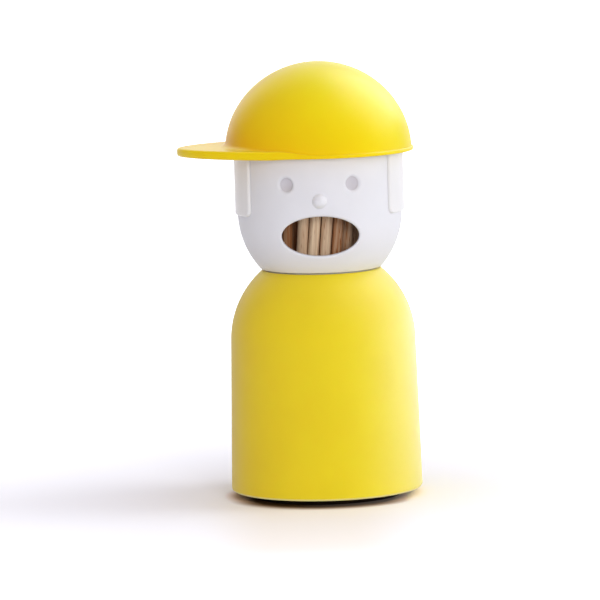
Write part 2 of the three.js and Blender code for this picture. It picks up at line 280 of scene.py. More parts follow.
def closed_object(name, grids, vectors=None, numbers=None):
    """One smooth closed mesh from grids of points whose borders coincide: the borders are merged, poles
    become fans, and the faces are turned outwards. Vectors and numbers, one for each point, may be kept as
    attributes."""
    points = np.concatenate([grid.reshape(-1, 3) for grid in grids])
    sizes = [grid.shape[0] * grid.shape[1] for grid in grids]
    offsets = np.concatenate([[0], np.cumsum(sizes)[:-1]])
    faces = np.concatenate([quads(*grid.shape[:2], offset) for grid, offset in zip(grids, offsets)])
    mesh = bpy.data.meshes.new(name)
    mesh.from_pydata(points.tolist(), [], faces.tolist())
    for attribute, values in (vectors or {}).items():
        mesh.attributes.new(attribute, "FLOAT_VECTOR", "POINT").data.foreach_set("vector", values.ravel())
    for attribute, value in (numbers or {}).items():
        values = np.broadcast_to(value, len(points)).astype(np.float32)
        mesh.attributes.new(attribute, "FLOAT", "POINT").data.foreach_set("value", values)
    work = bmesh.new()
    work.from_mesh(mesh)
    bmesh.ops.remove_doubles(work, verts=work.verts, dist=MERGE_DISTANCE)
    bmesh.ops.recalc_face_normals(work, faces=work.faces)
    work.to_mesh(mesh)
    work.free()
    mesh.polygons.foreach_set("use_smooth", np.ones(len(mesh.polygons), bool))
    piece = bpy.data.objects.new(name, mesh)
    bpy.context.scene.collection.objects.link(piece)
    return piece


def dress(piece, material, body, slot, *nodes):
    """Gives a piece its finish and its body, and hides the CAD nodes that it stands for. The slot is not
    used.
    """
    piece.data.materials.append(material)
    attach(piece, body)
    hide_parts(*nodes)
    return piece


def smooth_step(value):
    """0 below 0, 1 above 1, and a smooth cubic between."""
    value = np.clip(value, 0, 1)
    return value * value * (3 - 2 * value)


# The bell, its foot and what stands inside it

def foot_pad_surface():
    """A disc with a rounded edge, more so below: its outline turned once round Z."""
    below, above = 0.6 * MM, 0.12 * MM
    return [revolved(rounded_outline([
        (0, 0, 0), (FOOT_RADIUS, 0, below), (FOOT_RADIUS, FOOT_TOP, above), (0, FOOT_TOP, 0),
    ]))]


def bottom_plug_surface(sizes):
    """A disc with an upright socket ring: their common outline turned once round Z."""
    edge = sizes.hidden_rounding
    top = PLUG_BOTTOM + sizes.plug_thickness
    socket_inner = CUP_OUTER + sizes.running_gap
    socket_outer = socket_inner + sizes.socket_wall
    return [revolved(rounded_outline([
        (0, PLUG_BOTTOM, 0), (PLUG_RADIUS, PLUG_BOTTOM, edge), (PLUG_RADIUS, top, edge),
        (socket_outer, top, edge), (socket_outer, PLUG_SOCKET_TOP, edge),
        (socket_inner, PLUG_SOCKET_TOP, edge), (socket_inner, top, edge), (0, top, 0),
    ]))]


def body_shell_surface(sizes):
    """The bell: the outline of a slightly tapered wall under an elliptical shoulder, outside and inside,
    turned once round Z. The height of each ellipse at radius r is rise times the root of
    1 - (r / radius) squared."""
    neck_hole = CUP_OUTER + sizes.running_gap
    neck_outer = neck_hole + sizes.neck_land
    inner_radius = sizes.shoulder_radius - sizes.wall
    inner_rise = sizes.shoulder_rise - sizes.wall
    shoulder = BODY_TOP - sizes.shoulder_rise * math.sqrt(1 - (neck_outer / sizes.shoulder_radius) ** 2)
    inner_top = shoulder + inner_rise * math.sqrt(1 - (neck_hole / inner_radius) ** 2)
    outer = ellipse_arc(sizes.shoulder_radius, sizes.shoulder_rise, shoulder, shoulder, BODY_TOP)
    inner = ellipse_arc(inner_radius, inner_rise, shoulder, inner_top, shoulder, 24)
    outer[-1] = (neck_outer, BODY_TOP, sizes.neck_rounding)
    return [revolved(rounded_outline([
        (BODY_FOOT_RADIUS - sizes.wall, BODY_BOTTOM, sizes.hidden_rounding),
        (BODY_FOOT_RADIUS, BODY_BOTTOM, sizes.rim_rounding),
        *outer,
        (neck_hole, BODY_TOP, sizes.hidden_rounding),
        *inner,
    ]), 256)]


def pick_cup_surface(sizes):
    """A tube with a floor: its outline turned once round Z."""
    edge = sizes.hidden_rounding
    inner = CUP_OUTER - sizes.cup_wall
    floor = CUP_BOTTOM + sizes.cup_floor
    return [revolved(rounded_outline([
        (0, CUP_BOTTOM, 0), (CUP_OUTER, CUP_BOTTOM, edge), (CUP_OUTER, CUP_TOP, edge),
        (inner, CUP_TOP, edge), (inner, floor, edge), (0, floor, 0),
    ]), 128)]


def neck_sleeve_surface(sizes):
    """A tube with a flange at its foot: its outline turned once round Z."""
    edge = sizes.hidden_rounding
    inner = CUP_OUTER - sizes.cup_wall
    flange_top = SLEEVE_BOTTOM + sizes.flange_height
    return [revolved(rounded_outline([
        (inner, SLEEVE_BOTTOM, edge), (SLEEVE_FLANGE_RADIUS, SLEEVE_BOTTOM, edge),
        (SLEEVE_FLANGE_RADIUS, flange_top, edge), (CUP_OUTER, flange_top, 0.5 * edge),
        (CUP_OUTER, SLEEVE_TOP, edge), (inner, SLEEVE_TOP, edge),
    ]), 128)]


# The head

def head_radius_at(height, radius, rise):
    """The wall's radius, which below the chin's start follows an ellipse with the given half axes."""
    drop = np.minimum(height - CHIN_START, 0)
    return radius * np.sqrt(1 - (drop / rise) ** 2)


def face_relief(sizes, angle, height):
    """How far the face stands out of the wall at an angle from the front and a height. With s the distance
    along the wall from a feature's centre: an eye is a dish whose floor is a shallow bowl, deeper by the
    bowl's depth times 1 - (s / floor radius) squared, and whose wall is a quarter of an ellipse that rises
    steeply from the floor's radius and rounds over to the face at the rim's radius. The nose is a ball sunk
    in the wall, joined to it by a smooth maximum."""
    relief = np.zeros_like(angle)
    for side in (-1, 1):
        across = HEAD_RADIUS * (angle - side * sizes.eye_angle)
        distance = np.hypot(across, height - CHIN_START - sizes.eye_rise)
        from_rim = np.clip((sizes.eye_rim - distance) / (sizes.eye_rim - sizes.eye_floor), 0, 1)
        relief -= sizes.eye_depth * (1 - np.sqrt(1 - from_rim ** 2))
        relief -= sizes.eye_bowl * np.maximum(1 - (distance / sizes.eye_floor) ** 2, 0)
    radius = (sizes.nose_radius ** 2 + sizes.nose_height ** 2) / (2 * sizes.nose_height)
    sink = radius - sizes.nose_height
    distance = np.hypot(HEAD_RADIUS * angle, height - CHIN_START - sizes.nose_rise)
    ball = np.sqrt(np.maximum(radius ** 2 - distance ** 2, 0)) - sink
    blend = 0.15 * MM
    nose = np.maximum(ball, 0) + np.maximum(blend - np.abs(ball), 0) ** 2 / (4 * blend)
    return relief + nose


def wall_points(angle, height, radius, relief=0.0):
    """Points on the head's wall: angle is measured from the front, towards +X."""
    out = radius + relief
    return np.stack([out * np.sin(angle), -out * np.cos(angle), height + 0 * angle], axis=-1)


def arc_between(start, corner, end, steps):
    """A conic from start to end, tangent to the lines to the corner: with weight w = 0.707, the point at t
    is ((1-t)^2 start + 2wt(1-t) corner + t^2 end) / ((1-t)^2 + 2wt(1-t) + t^2)."""
    t = np.linspace(0, 1, steps + 1)[:, None, None]
    side, middle, far = (1 - t) ** 2, 2 * math.sqrt(0.5) * t * (1 - t), t ** 2
    return (side * start + middle * corner + far * end) / (side + middle + far)


def head_surface(sizes, body_sizes):
    """The head as grids that share their borders. Rays run from the mouth's ellipse to the border of a
    front patch on the wall, outside and inside, and the mouth's edge joins the two. The back is a grid of
    angle and height, and two strips close the rim and the foot all round. The wall's radius is constant
    down to the chin, and there follows the root of 1 - (drop / rise) squared."""
    inner_radius, inner_rise = HEAD_RADIUS - sizes.wall, sizes.chin_rise - sizes.wall
    mouth = CHIN_START - sizes.mouth_drop

    # The front patch's half angle, its lower and upper borders, and how many rays and rings it has
    half = math.radians(54.3)
    above_foot, below_top, above_sleeve = 0.8 * MM, 0.9 * MM, 0.3 * MM
    low, high = HEAD_BOTTOM + above_foot, HEAD_TOP - below_top
    low_inside, high_inside = SLEEVE_TOP + above_sleeve, high
    side_rays, top_rays, rings_inside = 90, 170, 12

    # The border of the front patch, anticlockwise from its lower right corner
    upward, leftward = np.linspace(low, high, side_rays + 1), np.linspace(half, -half, top_rays + 1)
    angle = np.concatenate([
        np.full(side_rays, half), leftward[:-1], np.full(side_rays, -half), leftward[::-1],
    ])
    height = np.concatenate([
        upward[:-1], np.full(top_rays, high), upward[::-1][:-1], np.full(top_rays + 1, low),
    ])
    inside = low_inside + (height - low) / (high - low) * (high_inside - low_inside)

    # The mouth's ellipse on each ray, and its outward normal
    ray = np.arctan2(
        (height - mouth) / sizes.mouth_half_height, HEAD_RADIUS * angle / sizes.mouth_half_width,
    )
    across, above = sizes.mouth_half_width * np.cos(ray), sizes.mouth_half_height * np.sin(ray)
    normal = np.stack([np.cos(ray) / sizes.mouth_half_width, np.sin(ray) / sizes.mouth_half_height])
    normal /= np.linalg.norm(normal, axis=0)

    def ring(offset, radius, rise):
        """The angles and heights at which the wall meets the mouth's ellipse moved out by an offset"""
        x, z = across + offset * normal[0], mouth + above + offset * normal[1]
        return np.arcsin(x / head_radius_at(z, radius, rise)), z

    def rays(start_angle, start_height, end_height, radius, rise, share, relief):
        """The wall between the mouth and the border of the front patch, at shares of each ray"""
        share = share[:, None]
        angles = start_angle + share * (angle - start_angle)
        heights = start_height + share * (end_height - start_height)
        return wall_points(angles, heights, head_radius_at(heights, radius, rise), relief(angles, heights))

    # Shares of a ray: rings lie close together where the nose and the eyes are
    features_start, features_end = 0.08, 0.61
    shares = np.concatenate([
        np.linspace(0, features_start, 8)[:-1],
        np.linspace(features_start, features_end, 76)[:-1],
        np.linspace(features_end, 1, 19),
    ])
    lip, lip_inside = sizes.lip_rounding, 0.3 * MM
    front = rays(
        *ring(lip, HEAD_RADIUS, sizes.chin_rise), height, HEAD_RADIUS, sizes.chin_rise, shares,
        lambda angles, heights: face_relief(sizes, angles, heights),
    )
    front_inside = rays(
        *ring(lip_inside, inner_radius, inner_rise), inside, inner_radius, inner_rise,
        np.linspace(0, 1, rings_inside + 1), lambda angles, heights: 0.0,
    )
    edge_angle, edge_height = ring(0, HEAD_RADIUS, sizes.chin_rise)
    edge = wall_points(edge_angle, edge_height, head_radius_at(edge_height, HEAD_RADIUS, sizes.chin_rise))
    edge_angle, edge_height = ring(0, inner_radius, inner_rise)
    edge_inside = wall_points(edge_angle, edge_height, head_radius_at(edge_height, inner_radius, inner_rise))
    inward = np.array([0, 1, 0])
    wall_start, wall_end = edge + lip * inward, edge_inside - lip_inside * inward
    share = np.linspace(0, 1, 5)[:, None, None]
    mouth_edge = np.concatenate([
        arc_between(front[0], edge, wall_start, 7),
        (wall_start + share * (wall_end - wall_start))[1:-1],
        arc_between(wall_end, edge_inside, front_inside[0], 4),
    ])

    # The back, and the strips round the rim and the foot
    backward = np.linspace(half, 2 * math.pi - half, 85)
    heights, angles = np.meshgrid(upward, backward, indexing="ij")
    back = wall_points(angles, heights, head_radius_at(heights, HEAD_RADIUS, sizes.chin_rise))
    heights = low_inside + (heights - low) / (high - low) * (high_inside - low_inside)
    back_inside = wall_points(angles, heights, head_radius_at(heights, inner_radius, inner_rise))
    around = np.concatenate([leftward[::-1], backward[1:]])

    def strip(corners):
        """A profile (radius, height) carried round the whole head"""
        profile = rounded_outline(corners)
        angles, radii = np.meshgrid(around, profile[:, 0], indexing="ij")
        return wall_points(angles, np.broadcast_to(profile[:, 1], angles.shape), radii)

    rounding, bore_rounding, inner_rounding = sizes.top_rounding, 0.2 * MM, 0.1 * MM
    bore = CUP_OUTER + body_sizes.running_gap
    chin = ellipse_arc(HEAD_RADIUS, sizes.chin_rise, CHIN_START, low, HEAD_BOTTOM, 4)
    chin[-1] = (*chin[-1][:2], sizes.foot_rounding)
    floor = ellipse_arc(inner_radius, inner_rise, CHIN_START, SLEEVE_TOP, low_inside, 3)
    rim_strip = strip([
        (HEAD_RADIUS, high, 0), (HEAD_RADIUS, HEAD_TOP, rounding), (inner_radius, HEAD_TOP, rounding),
        (inner_radius, high_inside, 0),
    ])
    foot_strip = strip([
        *chin, (bore, HEAD_BOTTOM, bore_rounding), (bore, SLEEVE_TOP, inner_rounding), *floor,
    ])
    grids = [front, mouth_edge, front_inside, back, back_inside, rim_strip, foot_strip]

    # How deep each point lies in an eye, for the painted shade that darkens the deep parts of the dishes
    recess = np.zeros(sum(grid.shape[0] * grid.shape[1] for grid in grids))
    sunk = HEAD_RADIUS - np.hypot(front[..., 0], front[..., 1])
    in_dish = (sunk > 0) & (front[..., 2] > CHIN_START)
    recess[:sunk.size] = np.where(in_dish, sunk / sizes.eye_depth, 0).ravel()
    return grids, recess


def side_flap_surface(sizes, side):
    """A plate wrapped on the side of the head: rings of the outline (y, z), drawn in and raised by a profile
    of inset and radius, are put on the cylinder of that radius, where x is the root of radius squared less
    y squared. The outer face and the back close in on their middles."""
    inner, outer = HEAD_RADIUS + sizes.flap_gap, FLAP_OUTER
    corner, top_corner, edge = sizes.flap_corner, 0.3 * MM, sizes.flap_rounding
    outline = rounded_outline([
        (-FLAP_HALF_WIDTH, FLAP_TOP, top_corner), (-FLAP_HALF_WIDTH, FLAP_BOTTOM, corner),
        (FLAP_HALF_WIDTH, FLAP_BOTTOM, corner), (FLAP_HALF_WIDTH, FLAP_TOP, top_corner),
    ], 12)
    outline = np.concatenate([outline, outline[:1]])
    travelled = np.concatenate([[0], np.cumsum(np.linalg.norm(np.diff(outline, axis=0), axis=1))])
    places = np.linspace(0, travelled[-1], 361)
    outline = np.stack([np.interp(places, travelled, outline[:, column]) for column in (0, 1)], axis=-1)
    along = np.roll(outline[:-1], -1, axis=0) - np.roll(outline[:-1], 1, axis=0)
    along = np.concatenate([along, along[:1]])
    normal = np.stack([-along[:, 1], along[:, 0]], axis=-1) / np.linalg.norm(along, axis=1)[:, None]
    middle = outline[:-1].mean(axis=0)
    turn = np.linspace(0, math.pi / 2, 7)
    inset = np.concatenate([[0, 0], edge * (1 - np.cos(turn)), [1.5 * edge]])
    radius = np.concatenate([
        [inner, inner + 0.4 * (outer - edge - inner)], outer - edge + edge * np.sin(turn), [outer],
    ])
    rings = outline + inset[:, None, None] * normal
    shrink = np.linspace(1, 0, 19)[1:, None, None]
    back = middle + shrink[::-1] * (outline - middle)
    face = middle + shrink * (rings[-1] - middle)
    rings = np.concatenate([back, rings, face])
    radius = np.concatenate([np.full(len(back), inner), radius, np.full(len(face), outer)])[:, None]
    y, z = rings[..., 0], rings[..., 1]
    return [np.stack([side * np.sqrt(radius ** 2 - y ** 2), y, z], axis=-1)]


# The cap

def cap_liner_surface(sizes, head_sizes, body_sizes):
    """A flange over a skirt: their common outline turned once round Z."""
    edge = body_sizes.hidden_rounding
    skirt_outer = HEAD_RADIUS - head_sizes.wall - body_sizes.running_gap
    skirt_inner = skirt_outer - sizes.liner_wall
    flange_bottom = LINER_TOP - sizes.liner_wall
    return [revolved(rounded_outline([
        (skirt_inner, LINER_BOTTOM, edge), (skirt_outer, LINER_BOTTOM, edge),
        (skirt_outer, flange_bottom, 0.5 * edge), (LINER_FLANGE_RADIUS, flange_bottom, edge),
        (LINER_FLANGE_RADIUS, LINER_TOP, edge), (skirt_inner, LINER_TOP, edge),
    ]), 128)]


def cap_shell_surface(sizes, columns=320):
    """The cap: one profile for each azimuth. It runs from the top down an elliptical dome, through a fillet
    on to a ledge, round its edge, back below it and up the hollow. In plan the ledge's edge is a circle, and
    on the side of the peak half of a superellipse, whose points keep (x / reach) to the power p plus
    (y / radius) to the power p at 1. Towards the peak the ledge gets thicker, and dips a little."""
    azimuth = np.linspace(0, 2 * math.pi, columns + 1)[:, None]
    cosine, sine = np.cos(azimuth), np.sin(azimuth)
    power = sizes.peak_fullness
    peak = (np.abs(cosine / PEAK_REACH) ** power + np.abs(sine / CAP_BEAD_RADIUS) ** power) ** (-1 / power)
    edge = np.where(cosine < 0, np.maximum(peak, CAP_BEAD_RADIUS), CAP_BEAD_RADIUS)

    # Cosines of the angle from the peak's tip: full thickness is reached at the first, and the dip starts
    # at the second and is full after the third more
    full_thickness, dip_start, dip_run = 0.46, 0.25, 0.3
    thicker = smooth_step(-cosine / full_thickness)
    thickness = sizes.bead_height + (sizes.peak_thickness - sizes.bead_height) * thicker
    radius, rise = CAP_BEAD_RADIUS - sizes.bead, CAP_TOP - CAP_RIM
    foot = radius * np.sqrt(1 - (thickness / rise) ** 2)
    fillet_share, thickness_share, ledge_share = 0.35, 0.3, 0.6
    fillet = np.minimum(sizes.peak_fillet, fillet_share * (edge - foot))
    flare = np.maximum(sizes.rim_flare, fillet)
    rounding = np.minimum(thickness_share * sizes.peak_thickness, ledge_share * (edge - foot))
    top = CAP_RIM + thickness
    inner_radius, inner_rise, inner_round = radius - sizes.wall, rise - sizes.wall, sizes.rim_rounding

    def eased(steps):
        """Shares of a stretch, close together at both ends"""
        return 0.5 - 0.5 * np.cos(np.linspace(0, math.pi, steps + 1))

    def profile(radii, heights):
        """A stretch of the profile for each azimuth"""
        radii, heights = np.broadcast_arrays(radii + 0 * azimuth, heights + 0 * azimuth)
        return np.stack([radii, heights], axis=-1)

    angle = math.pi / 2 + np.linspace(0, 1, 64) * (np.arcsin((thickness + flare) / rise) - math.pi / 2)
    dome = profile(radius * np.cos(angle), CAP_RIM + rise * np.sin(angle))
    ledge_start = profile(foot + fillet, top)
    bend = arc_between(dome[:, -1], profile(foot, top)[:, 0], ledge_start[:, 0], 6)[1:].transpose(1, 0, 2)
    ledge = profile(foot + fillet + eased(10)[1:-1] * (edge - rounding - foot - fillet), top)
    turn = np.linspace(math.pi / 2, 0, 6)
    turned_out, turned_up = edge - rounding + rounding * np.cos(turn), rounding * np.sin(turn)
    upper = profile(turned_out, top - rounding + turned_up)
    band = profile(edge, top - rounding - np.array([0.2, 0.5, 0.8]) * (thickness - 2 * rounding))
    lower = profile(turned_out, CAP_RIM + rounding - turned_up)[:, ::-1]
    underside = edge - rounding - inner_radius - inner_round
    below = profile(edge - rounding - eased(10)[1:-1] * underside, CAP_RIM)
    back = turn[::-1]
    inner = profile(
        inner_radius + inner_round * (1 - np.sin(back)), CAP_RIM + inner_round * (1 - np.cos(back)),
    )
    start = math.asin(inner_round / inner_rise)
    angle = start + np.linspace(0, 1, 40)[None, 1:] * (math.pi / 2 - start)
    hollow = profile(inner_radius * np.cos(angle), CAP_RIM + inner_rise * np.sin(angle))
    whole = np.concatenate([dome, bend, ledge, upper, band, lower, below, inner, hollow], axis=1)
    outward = (whole[..., 0] - inner_radius) / (radius - inner_radius)
    whole[..., 1] -= sizes.peak_dip * smooth_step(outward) * smooth_step((-cosine - dip_start) / dip_run)
    whole[:, [0, -1], 0] = 0
    return [np.stack([whole[..., 0] * cosine, whole[..., 0] * sine, whole[..., 1]], axis=-1)]


# The picks

def pick_axis(node):
    """The two ends of a toothpick: the means of the different corners at its top and at its bottom."""
    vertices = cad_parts[node].data.vertices
    places = np.empty(len(vertices) * 3)
    vertices.foreach_get("co", places)
    places = np.unique(places.reshape(-1, 3).round(7), axis=0)
    end = 1.0 * MM
    low = places[places[:, 2] < places[:, 2].min() + end].mean(axis=0)
    high = places[places[:, 2] > places[:, 2].max() - end].mean(axis=0)
    return low, high


def pick_surface(node, sizes, random):
    """A round stick along its axis. Over the tip's length at both ends its radius grows from the tip's
    radius as the sine of a quarter turn to the power 0.8. Ridges, a sum of slow waves round the stick,
    vary it a little. The second grid holds each point's place in the stick's own frame, for the grain."""
    low, high = pick_axis(node)
    length_along = np.linalg.norm(high - low)
    forward = (high - low) / length_along
    right = np.cross([0, 1, 0], forward)
    right /= np.linalg.norm(right)
    ahead = np.cross(forward, right)
    tip, blunt = sizes.tip_length, 0.12 * MM
    tip_shares = np.array([0.12, 0.35, 0.6, 0.85, 1.0, 1.15])
    stations = np.concatenate([[0, 0, blunt], tip_shares * tip])
    middle = np.linspace(stations[-1], length_along - stations[-1], 18)[1:-1]
    along = np.concatenate([stations, middle, length_along - stations[::-1]])[:, None]
    from_end = np.minimum(along, length_along - along)
    taper = np.sin(0.5 * math.pi * np.clip(from_end / tip, 0, 1)) ** 0.8
    radius = sizes.tip_radius + (sizes.radius - sizes.tip_radius) * taper
    around = np.linspace(0, 2 * math.pi, 21)[None, :]
    phases = random.uniform(0, 2 * math.pi, 6)
    radians_per_metre = 90
    ridges = sum(
        np.cos(count * around + phase + radians_per_metre * along * math.cos(phase))
        for count, phase in zip((2, 3, 4, 5, 6, 7), phases)
    )
    radius = radius + sizes.roughness * ridges / 3 * np.clip(from_end / tip, 0, 1)
    radius[[0, -1]] = 0
    radius[[1, -2]] = sizes.tip_radius - blunt
    across, deep = radius * np.cos(around), radius * np.sin(around)
    grid = low + along[..., None] * forward + across[..., None] * right + deep[..., None] * ahead
    local = np.stack([across, deep, along + 0 * around], axis=-1) + random.uniform(-1, 1, 3)
    return grid, local


# Shader groups

def add_node(tree, kind, inputs=None, **settings):
    """A node with its settings. Each input, by name or number, is set to a value or linked to a socket."""
    made = tree.nodes.new(kind)
    for name, value in settings.items():
        setattr(made, name, value)
    for name, value in (inputs or {}).items():
        if isinstance(value, bpy.types.NodeSocket):
            tree.links.new(value, made.inputs[name])
        else:
            made.inputs[name].default_value = value
    return made


def arithmetic(tree, operation, *values, clamp=False):
    """The result of a Math node"""
    made = add_node(tree, "ShaderNodeMath", dict(enumerate(values)), operation=operation, use_clamp=clamp)
    return made.outputs[0]


def remap(tree, value, from_low, from_high, to_low=0.0, to_high=1.0, smooth=False):
    """The value carried from one range to another, and held at its ends"""
    inputs = {
        "Value": value, "From Min": from_low, "From Max": from_high, "To Min": to_low, "To Max": to_high,
    }
    kind = "SMOOTHSTEP" if smooth else "LINEAR"
    return add_node(tree, "ShaderNodeMapRange", inputs, interpolation_type=kind).outputs[0]


def blend_colours(tree, share, first, second, mode="MIX"):
    """The result of a Mix node for colours"""
    inputs = {0: share, 6: first, 7: second}
    return add_node(tree, "ShaderNodeMix", inputs, data_type="RGBA", blend_type=mode).outputs[2]


def noise(tree, place, scale, detail=2.0, roughness=0.5):
    """The value of a Noise Texture"""
    inputs = {"Vector": place, "Scale": scale, "Detail": detail, "Roughness": roughness}
    return add_node(tree, "ShaderNodeTexNoise", inputs).outputs[0]


def stretched(tree, place, scale, turn=(0.0, 0.0, 0.0)):
    """Coordinates turned and scaled by a Mapping node"""
    inputs = {"Vector": place, "Rotation": turn, "Scale": scale}
    return add_node(tree, "ShaderNodeMapping", inputs).outputs[0]


def new_group(name, inputs, outputs):
    """An empty shader group with its sockets, its input node and its output node"""
    tree = bpy.data.node_groups.new(name, "ShaderNodeTree")
    for label, kind, default in inputs:
        socket = tree.interface.new_socket(label, in_out="INPUT", socket_type="NodeSocket" + kind)
        if default is not None:
            socket.default_value = default
    for label, kind in outputs:
        tree.interface.new_socket(label, in_out="OUTPUT", socket_type="NodeSocket" + kind)
    return tree, tree.nodes.new("NodeGroupInput").outputs, tree.nodes.new("NodeGroupOutput").inputs


def moulded_grain_group():
    """Moulded plastic: its colour drifts slowly between two tones, and the mould's fine grain changes its
    roughness and height."""
    tree, given, result = new_group(
        "Moulded grain",
        [
            ("Place", "Vector", None), ("Colour", "Color", (1, 1, 1, 1)),
            ("Deep Colour", "Color", (1, 1, 1, 1)),
            ("Cloud Scale", "Float", 90.0), ("Grain Scale", "Float", 4200.0), ("Roughness", "Float", 0.4),
            ("Unevenness", "Float", 0.08),
        ],
        [("Colour", "Color"), ("Roughness", "Float"), ("Height", "Float")],
    )
    cloud_range, pit_range, pit_share = (0.38, 0.66), (0.0, 0.5), 0.35
    clouds = noise(tree, given["Place"], given["Cloud Scale"], detail=3.0)
    grain = noise(tree, given["Place"], given["Grain Scale"])
    share = remap(tree, clouds, *cloud_range, smooth=True)
    tree.links.new(blend_colours(tree, share, given["Colour"], given["Deep Colour"]), result["Colour"])
    swing = arithmetic(tree, "SUBTRACT", arithmetic(tree, "ADD", clouds, grain), 1.0)
    change = arithmetic(tree, "MULTIPLY", swing, given["Unevenness"])
    tree.links.new(arithmetic(tree, "ADD", given["Roughness"], change, clamp=True), result["Roughness"])
    pits = add_node(tree, "ShaderNodeTexVoronoi", {"Vector": given["Place"], "Scale": given["Grain Scale"]})
    depth = remap(tree, pits.outputs["Distance"], *pit_range)
    height = arithmetic(tree, "ADD", arithmetic(tree, "MULTIPLY", depth, pit_share), grain)
    tree.links.new(height, result["Height"])
    return tree


def lint_group():
    """Lint and dust: a small share of the cells of a Voronoi pattern hold a speck of a random size."""
    tree, given, result = new_group(
        "Lint",
        [
            ("Place", "Vector", None), ("Scale", "Float", 420.0), ("Share", "Float", 0.02),
            ("Size", "Float", 0.12),
        ],
        [("Mask", "Float")],
    )
    cells = add_node(tree, "ShaderNodeTexVoronoi", {"Vector": given["Place"], "Scale": given["Scale"]})
    chance = add_node(tree, "ShaderNodeSeparateColor", {"Color": cells.outputs["Color"]}).outputs
    chosen = arithmetic(tree, "LESS_THAN", chance[0], given["Share"])
    least_size, core_share = 0.3, 0.6
    size = arithmetic(tree, "MULTIPLY", given["Size"], arithmetic(tree, "ADD", chance[1], least_size))
    core = arithmetic(tree, "MULTIPLY", size, core_share)
    speck = remap(tree, cells.outputs["Distance"], core, size, 1.0, 0.0)
    tree.links.new(arithmetic(tree, "MULTIPLY", chosen, speck), result["Mask"])
    return tree


def rub_group():
    """Rubbing from handling: long thin streaks of noise in two directions, in patches."""
    tree, given, result = new_group(
        "Rubbing",
        [("Place", "Vector", None), ("Scale", "Float", 900.0), ("Amount", "Float", 0.5)],
        [("Mask", "Float")],
    )
    streak_range, patch_scale, patch_range = (0.66, 0.72), 130.0, (0.5, 0.68)
    masks = []
    for turn, stretch in (((0.3, 0.5, 0.9), (1.0, 0.03, 1.0)), ((1.1, -0.4, 0.2), (1.0, 1.0, 0.025))):
        place = stretched(tree, given["Place"], stretch, turn)
        masks.append(remap(tree, noise(tree, place, given["Scale"], detail=1.0), *streak_range))
    patches = remap(tree, noise(tree, given["Place"], patch_scale), *patch_range, smooth=True)
    streaks = arithmetic(tree, "MAXIMUM", *masks)
    mask = arithmetic(tree, "MULTIPLY", arithmetic(tree, "MULTIPLY", streaks, patches), given["Amount"])
    tree.links.new(mask, result["Mask"])
    return tree


def wood_group():
    """Split wood: fibres are noise drawn out along the pick, with darker pores and a slow change of tone."""
    tree, given, result = new_group(
        "Split wood",
        [
            ("Place", "Vector", None), ("Tone", "Float", 0.5), ("Pale", "Color", (1, 1, 1, 1)),
            ("Dark", "Color", (0, 0, 0, 1)), ("Fibre Scale", "Float", 2600.0),
        ],
        [("Colour", "Color"), ("Roughness", "Float"), ("Height", "Float")],
    )
    fibre_place = stretched(tree, given["Place"], (1.0, 1.0, 0.035))
    fibres = noise(tree, fibre_place, given["Fibre Scale"], detail=3.0, roughness=0.6)
    band_scale, pore_scale, pore_range = 700.0, 4200.0, (0.64, 0.74)
    bands = noise(tree, stretched(tree, given["Place"], (1.0, 1.0, 0.06)), band_scale)
    pores = noise(tree, stretched(tree, given["Place"], (1.0, 1.0, 0.09)), pore_scale, detail=1.0)
    pores = remap(tree, pores, *pore_range)

    # How much of the dark colour the fibres, the bands, the pick's tone and the pores bring
    from_fibres, from_bands, from_tone, from_pores, pore_depth = 0.5, 0.14, 0.45, 0.5, 0.6
    share = arithmetic(
        tree, "ADD", remap(tree, fibres, 0.36, 0.68, 0.0, from_fibres),
        remap(tree, bands, 0.35, 0.65, 0.0, from_bands),
    )
    share = arithmetic(tree, "ADD", share, arithmetic(tree, "MULTIPLY", given["Tone"], from_tone))
    share = arithmetic(tree, "ADD", share, arithmetic(tree, "MULTIPLY", pores, from_pores), clamp=True)
    tree.links.new(blend_colours(tree, share, given["Pale"], given["Dark"]), result["Colour"])
    tree.links.new(remap(tree, fibres, 0.3, 0.7, 0.5, 0.72), result["Roughness"])
    height = arithmetic(tree, "SUBTRACT", fibres, arithmetic(tree, "MULTIPLY", pores, pore_depth))
    tree.links.new(height, result["Height"])
    return tree


def foam_group():
    """Closed foam: small cells whose walls stand out, a little paler than the cells."""
    tree, given, result = new_group(
        "Foam cells",
        [("Place", "Vector", None), ("Scale", "Float", 2400.0), ("Colour", "Color", (0, 0, 0, 1))],
        [("Colour", "Color"), ("Roughness", "Float"), ("Height", "Float")],
    )
    inputs = {"Vector": given["Place"], "Scale": given["Scale"]}
    cells = add_node(tree, "ShaderNodeTexVoronoi", inputs, feature="DISTANCE_TO_EDGE").outputs["Distance"]
    wall_range, dust_range, dust_scale = (0.02, 0.22), (0.45, 0.75), 320.0
    from_wall, from_dust, pale = 0.2, 0.25, (0.05, 0.032, 0.018, 1)
    wall = remap(tree, cells, *wall_range, 1.0, 0.0, smooth=True)
    dust = remap(tree, noise(tree, given["Place"], dust_scale, detail=4.0), *dust_range, 0.0, from_dust)
    share = arithmetic(tree, "ADD", arithmetic(tree, "MULTIPLY", wall, from_wall), dust, clamp=True)
    tree.links.new(blend_colours(tree, share, given["Colour"], pale), result["Colour"])
    tree.links.new(remap(tree, wall, 0.0, 1.0, 0.92, 0.74), result["Roughness"])
    tree.links.new(wall, result["Height"])
    return tree


# Finishes

def shared_group(name):
    """The shader group of that name, built at its first use"""
    makers = {
        "Moulded grain": moulded_grain_group, "Lint": lint_group, "Rubbing": rub_group,
        "Split wood": wood_group, "Foam cells": foam_group,
    }
    return bpy.data.node_groups.get(name) or makers[name]()


def new_material(name):
    """A material with a Principled BSDF. Returns the material, its tree, the shader and the Object
    coordinates."""
    material = bpy.data.materials.new(name)
    material.use_nodes = True
    tree = material.node_tree
    shader = tree.nodes["Principled BSDF"]
    return material, tree, shader, tree.nodes.new("ShaderNodeTexCoord").outputs["Object"]


